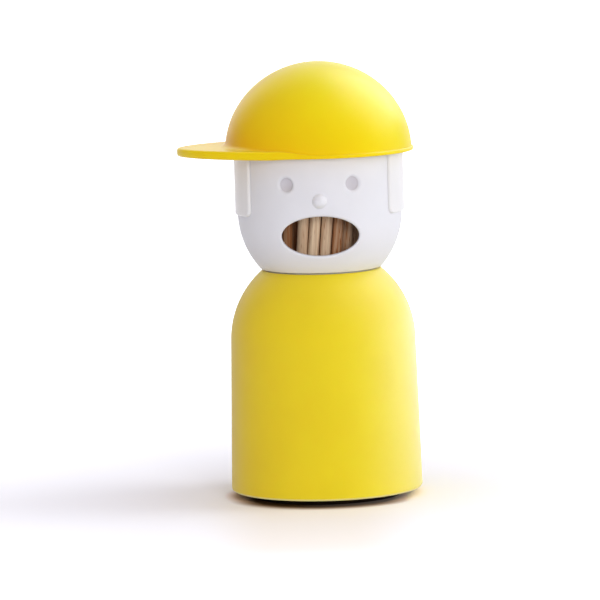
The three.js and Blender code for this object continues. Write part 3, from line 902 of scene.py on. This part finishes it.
def use_group(tree, name, **values):
    """The outputs of a node that places a shared group. Values are given by socket name, with an underscore
    for a space."""
    made = tree.nodes.new("ShaderNodeGroup")
    made.node_tree = shared_group(name)
    for label, value in values.items():
        socket = made.inputs[label.replace("_", " ")]
        if isinstance(value, bpy.types.NodeSocket):
            tree.links.new(value, socket)
        else:
            socket.default_value = value
    return made.outputs


def bump(tree, shader, height, strength, distance):
    """Sends a height to the shader's normal"""
    made = add_node(tree, "ShaderNodeBump", {"Height": height, "Strength": strength, "Distance": distance})
    tree.links.new(made.outputs["Normal"], shader.inputs["Normal"])


def opaque(colour):
    """A colour with 1 for its fourth number"""
    return (*colour, 1.0)


def scaled(colour, share):
    """A colour with each part multiplied by a share, or by a share of its own"""
    return tuple(np.multiply(colour, share).tolist())


def moulded_plastic(
    name, colour, deep, roughness, grain_depth, grain_scale, rub=0.3, lint=0.012, painted_light_hue=None, painted_mark=None,
    **settings,
):
    """Moulded plastic with its mould grain, light rubbing and a few specks of lint. Deep is the second tone
    of its grain. Painted light hue holds two tints, a painted shade and a painted light, which blend by the
    attribute of that name from 0 to 1. Painted mark holds an attribute and a colour that the plastic takes
    where it is near 1: a painted highlight on the bell's rim, a painted shade in the head's eyes. Settings
    are values of the shader's own sockets."""
    existing = bpy.data.materials.get(name)
    if existing:
        return existing
    material, tree, shader, place = new_material(name)
    grain = use_group(
        tree, "Moulded grain", Place=place, Colour=opaque(colour), Deep_Colour=opaque(deep),
        Roughness=roughness, Grain_Scale=grain_scale,
    )
    lint_colour, lint_cover, lint_roughness = (0.82, 0.80, 0.74, 1.0), 0.35, 0.3
    rub_roughness, rub_depth = 0.18, 0.4
    rubbed = use_group(tree, "Rubbing", Place=place, Amount=rub)["Mask"]
    specks = use_group(tree, "Lint", Place=place, Share=lint)["Mask"]
    shown = grain["Colour"]
    # The painted light hue: two tints blended by the attribute, more orange where it paints shade and more
    # lemon where it paints light
    if painted_light_hue:
        share = add_node(tree, "ShaderNodeAttribute", attribute_name="painted_light_hue").outputs["Fac"]
        shown = blend_colours(tree, 1.0, shown, blend_colours(tree, share, *painted_light_hue), "MULTIPLY")
    shown = blend_colours(tree, arithmetic(tree, "MULTIPLY", specks, lint_cover), shown, lint_colour)
    # A painted mark, a highlight on the bell's rim and shade in the head's eyes: the colour turns to the
    # given one where the attribute is near 1
    if painted_mark:
        attribute, painted_mark_colour = painted_mark
        mark_range = (0.35, 0.95)
        mark = add_node(tree, "ShaderNodeAttribute", attribute_name=attribute).outputs["Fac"]
        cover = remap(tree, mark, *mark_range, smooth=True)
        shown = blend_colours(tree, cover, shown, opaque(painted_mark_colour))
    tree.links.new(shown, shader.inputs["Base Color"])
    rough = arithmetic(tree, "ADD", grain["Roughness"], arithmetic(tree, "MULTIPLY", rubbed, rub_roughness))
    rough = arithmetic(tree, "ADD", rough, arithmetic(tree, "MULTIPLY", specks, lint_roughness), clamp=True)
    tree.links.new(rough, shader.inputs["Roughness"])
    height = arithmetic(tree, "SUBTRACT", grain["Height"], arithmetic(tree, "MULTIPLY", rubbed, rub_depth))
    bump(tree, shader, height, strength=1.0, distance=grain_depth)
    for socket, value in settings.items():
        shader.inputs[socket.replace("_", " ")].default_value = value
    return material


def wood_material(finishes):
    """The picks' wood, which reads each pick's own grain coordinates and tone"""
    material, tree, shader, _ = new_material("pick wood")
    grain = add_node(tree, "ShaderNodeAttribute", attribute_name="grain").outputs["Vector"]
    tone = add_node(tree, "ShaderNodeAttribute", attribute_name="tone").outputs["Fac"]
    wood = use_group(
        tree, "Split wood", Place=grain, Tone=tone, Pale=opaque(finishes.wood_pale),
        Dark=opaque(finishes.wood_dark),
    )
    tree.links.new(wood["Colour"], shader.inputs["Base Color"])
    tree.links.new(wood["Roughness"], shader.inputs["Roughness"])
    bump(tree, shader, wood["Height"], strength=0.8, distance=0.04 * MM)
    shader.inputs["Specular IOR Level"].default_value = 0.3
    return material


def foam_material(finishes):
    """The foot pad's foam"""
    material, tree, shader, place = new_material("foot foam")
    foam = use_group(tree, "Foam cells", Place=place, Colour=opaque(finishes.foot_black))
    tree.links.new(foam["Colour"], shader.inputs["Base Color"])
    tree.links.new(foam["Roughness"], shader.inputs["Roughness"])
    bump(tree, shader, foam["Height"], strength=0.7, distance=0.06 * MM)
    shader.inputs["Specular IOR Level"].default_value = 0.15
    return material


def inner_white(finishes):
    """The white of the moulded pieces inside"""
    colour = finishes.inner_white
    return moulded_plastic(
        "inner white", colour, scaled(colour, 0.94),
        roughness=0.42, grain_depth=0.010 * MM, grain_scale=3600,
    )


# Operators

class DispenserOperator:
    """What the operators that make pieces share"""
    bl_options = {"REGISTER", "UNDO"}


class DISPENSER_OT_foot_pad(DispenserOperator, bpy.types.Operator):
    """Make the foam pad that the bell stands on"""
    bl_idname = "dispenser.foot_pad"
    bl_label = "Foot pad"

    def execute(self, context):
        piece = closed_object("foot_pad_foam", foot_pad_surface())
        dress(piece, foam_material(context.scene.dispenser_finishes), "body", "foot_rubber", "foot_pad")
        return {"FINISHED"}


class DISPENSER_OT_bottom_plug(DispenserOperator, bpy.types.Operator):
    """Make the black plug that closes the bell"""
    bl_idname = "dispenser.bottom_plug"
    bl_label = "Bottom plug"

    def execute(self, context):
        colour = context.scene.dispenser_finishes.plug_black
        material = moulded_plastic(
            "plug black", colour, scaled(colour, 1.6),
            roughness=0.5, grain_depth=0.012 * MM, grain_scale=2800,
        )
        piece = closed_object("bottom_plug_disc", bottom_plug_surface(context.scene.dispenser_body))
        dress(piece, material, "body", "plug_black", "bottom_plug")
        return {"FINISHED"}


class DISPENSER_OT_body(DispenserOperator, bpy.types.Operator):
    """Make the matte yellow bell"""
    bl_idname = "dispenser.body"
    bl_label = "Body"

    def execute(self, context):
        colour = context.scene.dispenser_finishes.body_yellow
        # A pale painted highlight along the lower rim
        painted_rim_highlight = (0.95, 0.82, 0.30)
        material = moulded_plastic(
            "body yellow", colour, scaled(colour, (0.98, 0.965, 0.9)),
            roughness=0.62, grain_depth=0.014 * MM, grain_scale=3400,
            painted_light_hue=((1, 0.93, 1, 1), (1, 1.10, 1, 1)), painted_mark=("rim", painted_rim_highlight),
            Specular_IOR_Level=0.75, Specular_Tint=(0.9, 0.8, 0.66, 1.0),
            Sheen_Weight=0.4, Sheen_Roughness=0.4, Sheen_Tint=(1.0, 0.97, 0.85, 1.0),
            Subsurface_Weight=0.25, Subsurface_Radius=(1.0, 0.55, 0.05), Subsurface_Scale=3.0 * MM,
        )
        sizes = context.scene.dispenser_body
        grids = body_shell_surface(sizes)
        across, _, height = grids[0].reshape(-1, 3).T

        # The rim's painted highlight is full up to 0.3 of its rounding and gone at 1.3; the painted light
        # hue is more orange on the shaded left and more lemon on the lit right
        rim = np.clip(1.3 - (height - BODY_BOTTOM) / sizes.rim_rounding, 0, 1)
        painted_light_hue = 0.5 + 0.5 * across / BODY_FOOT_RADIUS
        piece = closed_object("body_bell", grids, numbers={"rim": rim, "painted_light_hue": painted_light_hue})
        dress(piece, material, "body", "body_yellow", "body_shell")
        return {"FINISHED"}


class DISPENSER_OT_pick_cup(DispenserOperator, bpy.types.Operator):
    """Make the cup that the picks stand in"""
    bl_idname = "dispenser.pick_cup"
    bl_label = "Pick cup"

    def execute(self, context):
        piece = closed_object("pick_cup_tube", pick_cup_surface(context.scene.dispenser_body))
        dress(piece, inner_white(context.scene.dispenser_finishes), "body", "inner_white", "pick_cup")
        return {"FINISHED"}


class DISPENSER_OT_toothpicks(DispenserOperator, bpy.types.Operator):
    """Make every toothpick of the bundle, each a little different"""
    bl_idname = "dispenser.toothpicks"
    bl_label = "Toothpicks"

    def execute(self, context):
        sizes = context.scene.dispenser_picks
        random = np.random.default_rng(sizes.seed)
        material = wood_material(context.scene.dispenser_finishes)
        palest, darkest = 0.6, 1.5
        for node in PICK_NODES:
            grid, local = pick_surface(node, sizes, random)
            tone = PICK_TONES_AND_SHADE.get(node, random.uniform(palest, darkest))
            piece = closed_object("wooden_" + node, [grid], {"grain": local}, {"tone": tone})
            dress(piece, material, "body", "pick_wood", node)
        return {"FINISHED"}


class DISPENSER_OT_neck_sleeve(DispenserOperator, bpy.types.Operator):
    """Make the sleeve that turns in the neck"""
    bl_idname = "dispenser.neck_sleeve"
    bl_label = "Neck sleeve"

    def execute(self, context):
        piece = closed_object("neck_sleeve_tube", neck_sleeve_surface(context.scene.dispenser_body))
        dress(piece, inner_white(context.scene.dispenser_finishes), "sleeve", "inner_white", "neck_sleeve")
        return {"FINISHED"}


class DISPENSER_OT_head(DispenserOperator, bpy.types.Operator):
    """Make the white head with its eyes, nose and mouth"""
    bl_idname = "dispenser.head"
    bl_label = "Head"

    def execute(self, context):
        scene = context.scene
        colour = scene.dispenser_finishes.head_white
        material = moulded_plastic(
            "head white", colour, scaled(colour, 0.975),
            roughness=0.42, grain_depth=0.008 * MM, grain_scale=3200,
            # The eye dishes are darkened where they are deep: painted shade
            painted_mark=("recess", scaled(colour, (0.78, 0.75, 0.76))),
            Subsurface_Weight=0.2, Subsurface_Radius=(1.0, 0.9, 0.85), Subsurface_Scale=0.3 * MM,
        )
        grids, recess = head_surface(scene.dispenser_head, scene.dispenser_body)
        piece = closed_object("head_face", grids, numbers={"recess": recess})
        dress(piece, material, "head", "head_white", "head_shell")
        return {"FINISHED"}


class DISPENSER_OT_side_flaps(DispenserOperator, bpy.types.Operator):
    """Make the two milky flaps on the sides of the head"""
    bl_idname = "dispenser.side_flaps"
    bl_label = "Side flaps"

    def execute(self, context):
        colour = context.scene.dispenser_finishes.flap_white
        material = moulded_plastic(
            "flap milky", colour, scaled(colour, 0.97),
            roughness=0.3, grain_depth=0.004 * MM, grain_scale=2600,
            Subsurface_Weight=0.3, Subsurface_Radius=(1.0, 0.95, 0.9), Subsurface_Scale=0.6 * MM,
            Coat_Weight=0.15, Coat_Roughness=0.12,
        )
        for name, side in (("left_side_flap", -1), ("right_side_flap", 1)):
            piece = closed_object(name + "_plate", side_flap_surface(context.scene.dispenser_head, side))
            dress(piece, material, "head", "flap_milky", name)
        return {"FINISHED"}


class DISPENSER_OT_cap_liner(DispenserOperator, bpy.types.Operator):
    """Make the liner that plugs the top of the head"""
    bl_idname = "dispenser.cap_liner"
    bl_label = "Cap liner"

    def execute(self, context):
        scene = context.scene
        grids = cap_liner_surface(scene.dispenser_cap, scene.dispenser_head, scene.dispenser_body)
        piece = closed_object("cap_liner_ring", grids)
        dress(piece, inner_white(scene.dispenser_finishes), "liner", "inner_white", "cap_liner")
        return {"FINISHED"}


class DISPENSER_OT_cap(DispenserOperator, bpy.types.Operator):
    """Make the satin yellow cap with its peak"""
    bl_idname = "dispenser.cap"
    bl_label = "Cap"

    @staticmethod
    def painted_light_hue_share(across, backward, height):
        """The share of the painted light hue: 0 where the yellow is warmest, as painted shade, and 1 where
        it is coolest, as painted light. It grows to the right and upwards, towards the lamps, is no less
        than a set value on the peak, where it paints the pale reflection on the peak's top, and settles at a
        middle value behind."""
        level, to_right, upwards = 0.39, 0.39, 0.52
        on_peak, at_back, peak_run = 0.6, 0.45, 0.8 * MM
        climb = (height - CAP_RIM) / (CAP_TOP - CAP_RIM)
        peak = (np.hypot(across, backward) - CAP_BEAD_RADIUS) / peak_run + 0.8
        rising = level + to_right * across / CAP_BEAD_RADIUS + upwards * climb
        painted_light_hue = np.clip(np.maximum(rising, on_peak * np.clip(peak, 0, 1)), 0, 1)
        behind = smooth_step(0.1 + 1.2 * backward / CAP_BEAD_RADIUS)
        return painted_light_hue + behind * (at_back - painted_light_hue)

    def execute(self, context):
        colour = context.scene.dispenser_finishes.cap_yellow
        material = moulded_plastic(
            "cap yellow", colour, scaled(colour, (0.985, 0.97, 0.9)),
            roughness=0.41, grain_depth=0.005 * MM, grain_scale=2400, rub=0.45,
            # A painted light hue: more orange as painted shade on the left and below, more lemon as painted
            # light to the right and above
            painted_light_hue=((1, 0.76, 1, 1), (1, 1.25, 1, 1)),
            Specular_IOR_Level=0.45, Specular_Tint=(0.82, 0.68, 0.38, 1.0),
            Subsurface_Weight=0.3, Subsurface_Radius=(1.0, 0.5, 0.04), Subsurface_Scale=4.0 * MM,
        )
        grids = cap_shell_surface(context.scene.dispenser_cap)
        painted_light_hue = self.painted_light_hue_share(*grids[0].reshape(-1, 3).T)
        piece = closed_object("cap_dome", grids, numbers={"painted_light_hue": painted_light_hue})
        dress(piece, material, "cap", "cap_yellow", "cap_shell")
        return {"FINISHED"}


# The stage

WORLD_COLOUR = (1.01, 0.985, 1.01, 1)
WORLD_LEAN = (-0.03, -0.12, 0.56)
WORLD_LEVEL = 0.245
WORLD_LEAST = 0.05
FRONT_GLOSS = 0.04
BACKDROP_GLOSS = 1.9
BACKDROP_RUN = (0.55, 1.0)

# Where the floor's effects start and end, in metres from the dispenser's axis
GLOW_CENTRE = (-0.012, 0.0, 0.0)
GLOW_RUN = (0.016, 0.24)
FRINGE_RUN = (0.0178, 0.0215)
LIT_SIDE_RUN = (0.0145, 0.0175)
CONTACT_RUN = (0.0165, 0.0222)
FACING_RUN = (0.0075, 0.0145)
BESIDE_PAD_RUN = (0.0135, 0.0175)
REFLECTION_ACROSS = (0.007, 0.024)
REFLECTION_START = (0.0, 0.015)
REFLECTION_END = (0.062, 0.090)

PLAIN_FLOOR = (0.80, 0.79, 0.78, 1)
SEEN_FLOOR = (1.08, 1.08, 1.17, 1)
SHADED_FRINGE = (0.77, 0.55, 0.41, 1)
LIT_FRINGE = (1.6, 1.35, 0.95, 1)
CONTACT_SHADE = (0.14, 0.075, 0.03, 1)
REFLECTION_TINT = (0.93, 0.88, 0.79, 1)


def rays_that_see(tree, path):
    """1 for camera, glossy and transmission rays"""
    seen = arithmetic(tree, "MAXIMUM", path["Is Camera Ray"], path["Is Glossy Ray"])
    return arithmetic(tree, "MAXIMUM", seen, path["Is Transmission Ray"])


def set_world(scene):
    """White for camera and transmission rays. Glossy rays see a brighter white behind the dispenser, which
    fades towards the dark side of the studio in front. Diffuse rays get a soft light: a weighted sum of the
    direction's parts and a level, and never less than a least value."""
    world = bpy.data.worlds.new("studio")
    scene.world = world
    world.use_nodes = True
    tree = world.node_tree
    tree.nodes.clear()
    direction = tree.nodes.new("ShaderNodeTexCoord").outputs["Generated"]
    lean = add_node(tree, "ShaderNodeVectorMath", {0: direction, 1: WORLD_LEAN}, operation="DOT_PRODUCT")
    soft = arithmetic(tree, "ADD", lean.outputs["Value"], WORLD_LEVEL)
    soft = arithmetic(tree, "MAXIMUM", soft, WORLD_LEAST)
    path = tree.nodes.new("ShaderNodeLightPath").outputs
    seen = rays_that_see(tree, path)
    parts = add_node(tree, "ShaderNodeSeparateXYZ", {0: direction}).outputs
    share_of_height = 0.6
    above = arithmetic(tree, "MULTIPLY", parts["Z"], share_of_height)
    behind = arithmetic(tree, "ADD", parts["Y"], above)
    backdrop = remap(tree, behind, *BACKDROP_RUN, FRONT_GLOSS, BACKDROP_GLOSS, smooth=True)
    not_glossy = arithmetic(tree, "SUBTRACT", 1.0, path["Is Glossy Ray"])
    backdrop = arithmetic(tree, "MAXIMUM", backdrop, not_glossy)
    diffuse = add_node(tree, "ShaderNodeBackground", {"Color": WORLD_COLOUR, "Strength": soft})
    white = add_node(tree, "ShaderNodeBackground", {"Color": (1, 1, 1, 1), "Strength": backdrop})
    both = add_node(tree, "ShaderNodeMixShader", {0: seen, 1: diffuse.outputs[0], 2: white.outputs[0]})
    add_node(tree, "ShaderNodeOutputWorld", {"Surface": both.outputs[0]})


def foot_fringe(tree, reach, to_right):
    """The open floor's colour, with a fringe of warm light round the foot, paler on the key lamp's side"""
    lit_side = remap(tree, to_right, *LIT_SIDE_RUN, smooth=True)
    fringe = blend_colours(tree, lit_side, SHADED_FRINGE, LIT_FRINGE)
    open_floor = remap(tree, reach, *FRINGE_RUN, smooth=True)
    return blend_colours(tree, open_floor, fringe, SEEN_FLOOR)


def contact_shadow(tree, reach, ahead, to_right):
    """How strong the contact shadow is, which lies in front and a little to the left, and all round close
    to the pad"""
    to_left, beside_pad = 0.12, 0.012
    facing = arithmetic(tree, "SUBTRACT", ahead, arithmetic(tree, "MULTIPLY", to_right, to_left))
    facing = arithmetic(tree, "ADD", facing, remap(tree, reach, *BESIDE_PAD_RUN, beside_pad, 0.0))
    return arithmetic(
        tree, "MULTIPLY", remap(tree, facing, *FACING_RUN, smooth=True),
        remap(tree, reach, *CONTACT_RUN, 1.0, 0.0, smooth=True),
    )


def bell_reflection(tree, ahead, to_right):
    """How strong the bell's faint reflection is on the floor in front of it"""
    middle = -0.003
    sideways = arithmetic(tree, "ABSOLUTE", arithmetic(tree, "SUBTRACT", to_right, middle))
    mirrored = arithmetic(
        tree, "MULTIPLY", remap(tree, sideways, *REFLECTION_ACROSS, 1.0, 0.0, smooth=True),
        remap(tree, ahead, *REFLECTION_END, 1.0, 0.0, smooth=True),
    )
    return arithmetic(tree, "MULTIPLY", mirrored, remap(tree, ahead, *REFLECTION_START))


def floor_material():
    """A pale floor that keeps the shadow. Camera, glossy and transmission rays see it brighter than diffuse
    rays do. A glow, half as strong for glossy rays, grows away from the dispenser and brings the open floor
    up to the white of the background. Round the foot lie a fringe of light, a contact shadow and the bell's
    faint reflection."""
    material = bpy.data.materials.new("studio floor")
    material.use_nodes = True
    tree = material.node_tree
    tree.nodes.clear()
    place = tree.nodes.new("ShaderNodeTexCoord").outputs["Object"]
    reach = add_node(tree, "ShaderNodeVectorMath", {0: place}, operation="LENGTH").outputs["Value"]
    shifted = add_node(tree, "ShaderNodeVectorMath", {0: place, 1: GLOW_CENTRE}, operation="DISTANCE")
    glow = remap(tree, shifted.outputs["Value"], *GLOW_RUN)
    path = tree.nodes.new("ShaderNodeLightPath").outputs
    seen = rays_that_see(tree, path)
    parts = add_node(tree, "ShaderNodeSeparateXYZ", {0: place}).outputs
    to_right, ahead = parts["X"], arithmetic(tree, "MULTIPLY", parts["Y"], -1.0)
    bright = foot_fringe(tree, reach, to_right)
    bright = blend_colours(tree, contact_shadow(tree, reach, ahead, to_right), bright, CONTACT_SHADE)
    warm = blend_colours(tree, bell_reflection(tree, ahead, to_right), (1, 1, 1, 1), REFLECTION_TINT)
    bright = blend_colours(tree, 1.0, bright, warm, "MULTIPLY")
    colour = blend_colours(tree, seen, PLAIN_FLOOR, bright)
    diffuse = add_node(tree, "ShaderNodeBsdfDiffuse", {"Color": colour})
    shown = arithmetic(tree, "MAXIMUM", path["Is Camera Ray"], path["Is Transmission Ray"])
    glossy_share = 0.5
    glossy = arithmetic(tree, "MULTIPLY", path["Is Glossy Ray"], glossy_share)
    shown = arithmetic(tree, "MAXIMUM", shown, glossy)
    strength = arithmetic(tree, "MULTIPLY", glow, shown)
    light = add_node(tree, "ShaderNodeEmission", {"Color": warm, "Strength": strength})
    both = add_node(tree, "ShaderNodeAddShader", {0: diffuse.outputs[0], 1: light.outputs[0]})
    add_node(tree, "ShaderNodeOutputMaterial", {"Surface": both.outputs[0]})
    return material


def area_light(name, place, target, size, energy, colour=(1.0, 1.0, 1.0), glossy=True, diffuse=True):
    """A rectangular lamp that faces a target, with or without its reflection or its diffuse light"""
    light = bpy.data.lights.new(name, "AREA")
    light.shape = "RECTANGLE"
    light.size, light.size_y = size
    light.energy = energy
    light.color = colour
    lamp = bpy.data.objects.new(name, light)
    bpy.context.scene.collection.objects.link(lamp)
    lamp.location = place
    aim = Vector(target) - Vector(place)
    lamp.rotation_euler = aim.to_track_quat("-Z", "Y").to_euler()
    lamp.visible_camera = False
    lamp.visible_glossy = glossy
    lamp.visible_diffuse = diffuse
    return lamp


def stage_floor(stage):
    """The square floor that the dispenser stands on"""
    half = 0.5 * stage.floor_size
    corners = [(-half, -half, 0), (half, -half, 0), (half, half, 0), (-half, half, 0)]
    mesh = bpy.data.meshes.new("studio_floor")
    mesh.from_pydata(corners, [], [(0, 1, 2, 3)])
    mesh.materials.append(floor_material())
    floor = bpy.data.objects.new("studio_floor", mesh)
    bpy.context.scene.collection.objects.link(floor)


def stage_lamps():
    """The key and the fill give diffuse light. The two sheens give reflections only."""
    area_light(
        "key", place=(0.82, 0.04, 0.32), target=(0, 0, 0.05), size=(0.45, 0.60), energy=2.35,
        colour=(0.97, 1.0, 0.98), glossy=False,
    )
    area_light(
        "front fill", place=(0.30, -1.23, 0.28), target=(0, 0, 0.05), size=(0.40, 0.40), energy=5.8,
        glossy=False,
    )
    area_light(
        "sheen", place=(0.33, 0.17, 0.42), target=(0, 0, 0.07), size=(0.50, 0.50), energy=3.7,
        colour=(0.60, 0.64, 1.2), diffuse=False,
    )

    # A low strip on the right and behind, linked to the bell alone, that brightens the bell's right edge
    wall_sheen = area_light(
        "wall sheen", place=(0.16, 0.075, 0.03), target=(0, 0, 0.03), size=(0.34, 0.06), energy=0.45,
        colour=(0.55, 0.64, 1.4), diffuse=False,
    )
    walls = bpy.data.collections.new("lit by the wall sheen")
    walls.objects.link(bpy.data.objects["body_bell"])
    wall_sheen.light_linking.receiver_collection = walls


def photo_camera(stage):
    """The camera of the photograph: yaw turns it right, tilt turns it down, and roll turns the picture."""
    data = bpy.data.cameras.new("camera")
    data.lens = stage.lens
    data.sensor_width = 36.0
    data.clip_start, data.clip_end = 0.05, 20.0
    camera = bpy.data.objects.new("camera", data)
    bpy.context.scene.collection.objects.link(camera)
    yaw, tilt, roll = stage.yaw, stage.tilt, stage.roll
    forward = Vector((math.sin(yaw) * math.cos(tilt), math.cos(yaw) * math.cos(tilt), -math.sin(tilt)))
    right = Vector((math.cos(yaw), -math.sin(yaw), 0))
    up = right.cross(forward)
    across = math.cos(roll) * right + math.sin(roll) * up
    above = math.cos(roll) * up - math.sin(roll) * right
    turn = Matrix((across, above, -forward)).transposed()
    place = Matrix.Translation((0, -stage.camera_distance, stage.camera_height))
    camera.matrix_world = place @ turn.to_4x4()
    return camera


class DISPENSER_OT_stage(bpy.types.Operator):
    """Set up the floor, the light and the camera of the photograph"""
    bl_idname = "dispenser.stage"
    bl_label = "Stage"

    def execute(self, context):
        scene = context.scene
        stage_floor(scene.dispenser_stage)
        set_world(scene)
        stage_lamps()
        scene.camera = photo_camera(scene.dispenser_stage)
        scene.view_settings.view_transform = "Standard"
        return {"FINISHED"}


# Panel and registration

PIECE_OPERATORS = (
    DISPENSER_OT_foot_pad, DISPENSER_OT_bottom_plug, DISPENSER_OT_body,
    DISPENSER_OT_pick_cup, DISPENSER_OT_toothpicks, DISPENSER_OT_neck_sleeve,
    DISPENSER_OT_head, DISPENSER_OT_side_flaps, DISPENSER_OT_cap_liner,
    DISPENSER_OT_cap, DISPENSER_OT_stage,
)
SETTINGS = {
    "dispenser_body": DispenserBodySizes,
    "dispenser_head": DispenserHeadSizes,
    "dispenser_cap": DispenserCapSizes,
    "dispenser_picks": DispenserPickSizes,
    "dispenser_finishes": DispenserFinishes,
    "dispenser_stage": DispenserStage,
}


class DISPENSER_PT_pieces(bpy.types.Panel):
    """Lists the pieces, and the sizes and colours that they are made with"""
    bl_idname = "DISPENSER_PT_pieces"
    bl_label = "Figure toothpick dispenser"
    bl_space_type = "VIEW_3D"
    bl_region_type = "UI"
    bl_category = "Dispenser"

    def draw(self, context):
        column = self.layout.column(align=True)
        for operator in PIECE_OPERATORS:
            column.operator(operator.bl_idname)
        for name, group in SETTINGS.items():
            box = self.layout.box()
            for setting in group.__annotations__:
                box.prop(getattr(context.scene, name), setting)


def register():
    for group in SETTINGS.values():
        bpy.utils.register_class(group)
    for name, group in SETTINGS.items():
        setattr(bpy.types.Scene, name, PointerProperty(type=group))
    for operator in PIECE_OPERATORS:
        bpy.utils.register_class(operator)
    bpy.utils.register_class(DISPENSER_PT_pieces)


def unregister():
    bpy.utils.unregister_class(DISPENSER_PT_pieces)
    for operator in reversed(PIECE_OPERATORS):
        bpy.utils.unregister_class(operator)
    for name, group in SETTINGS.items():
        delattr(bpy.types.Scene, name)
        bpy.utils.unregister_class(group)


def main():
    register()
    bpy.ops.dispenser.foot_pad()
    bpy.ops.dispenser.bottom_plug()
    bpy.ops.dispenser.body()
    bpy.ops.dispenser.pick_cup()
    bpy.ops.dispenser.toothpicks()
    bpy.ops.dispenser.neck_sleeve()
    bpy.ops.dispenser.head()
    bpy.ops.dispenser.side_flaps()
    bpy.ops.dispenser.cap_liner()
    bpy.ops.dispenser.cap()
    bpy.ops.dispenser.stage()


if __name__ == "__main__":
    main()
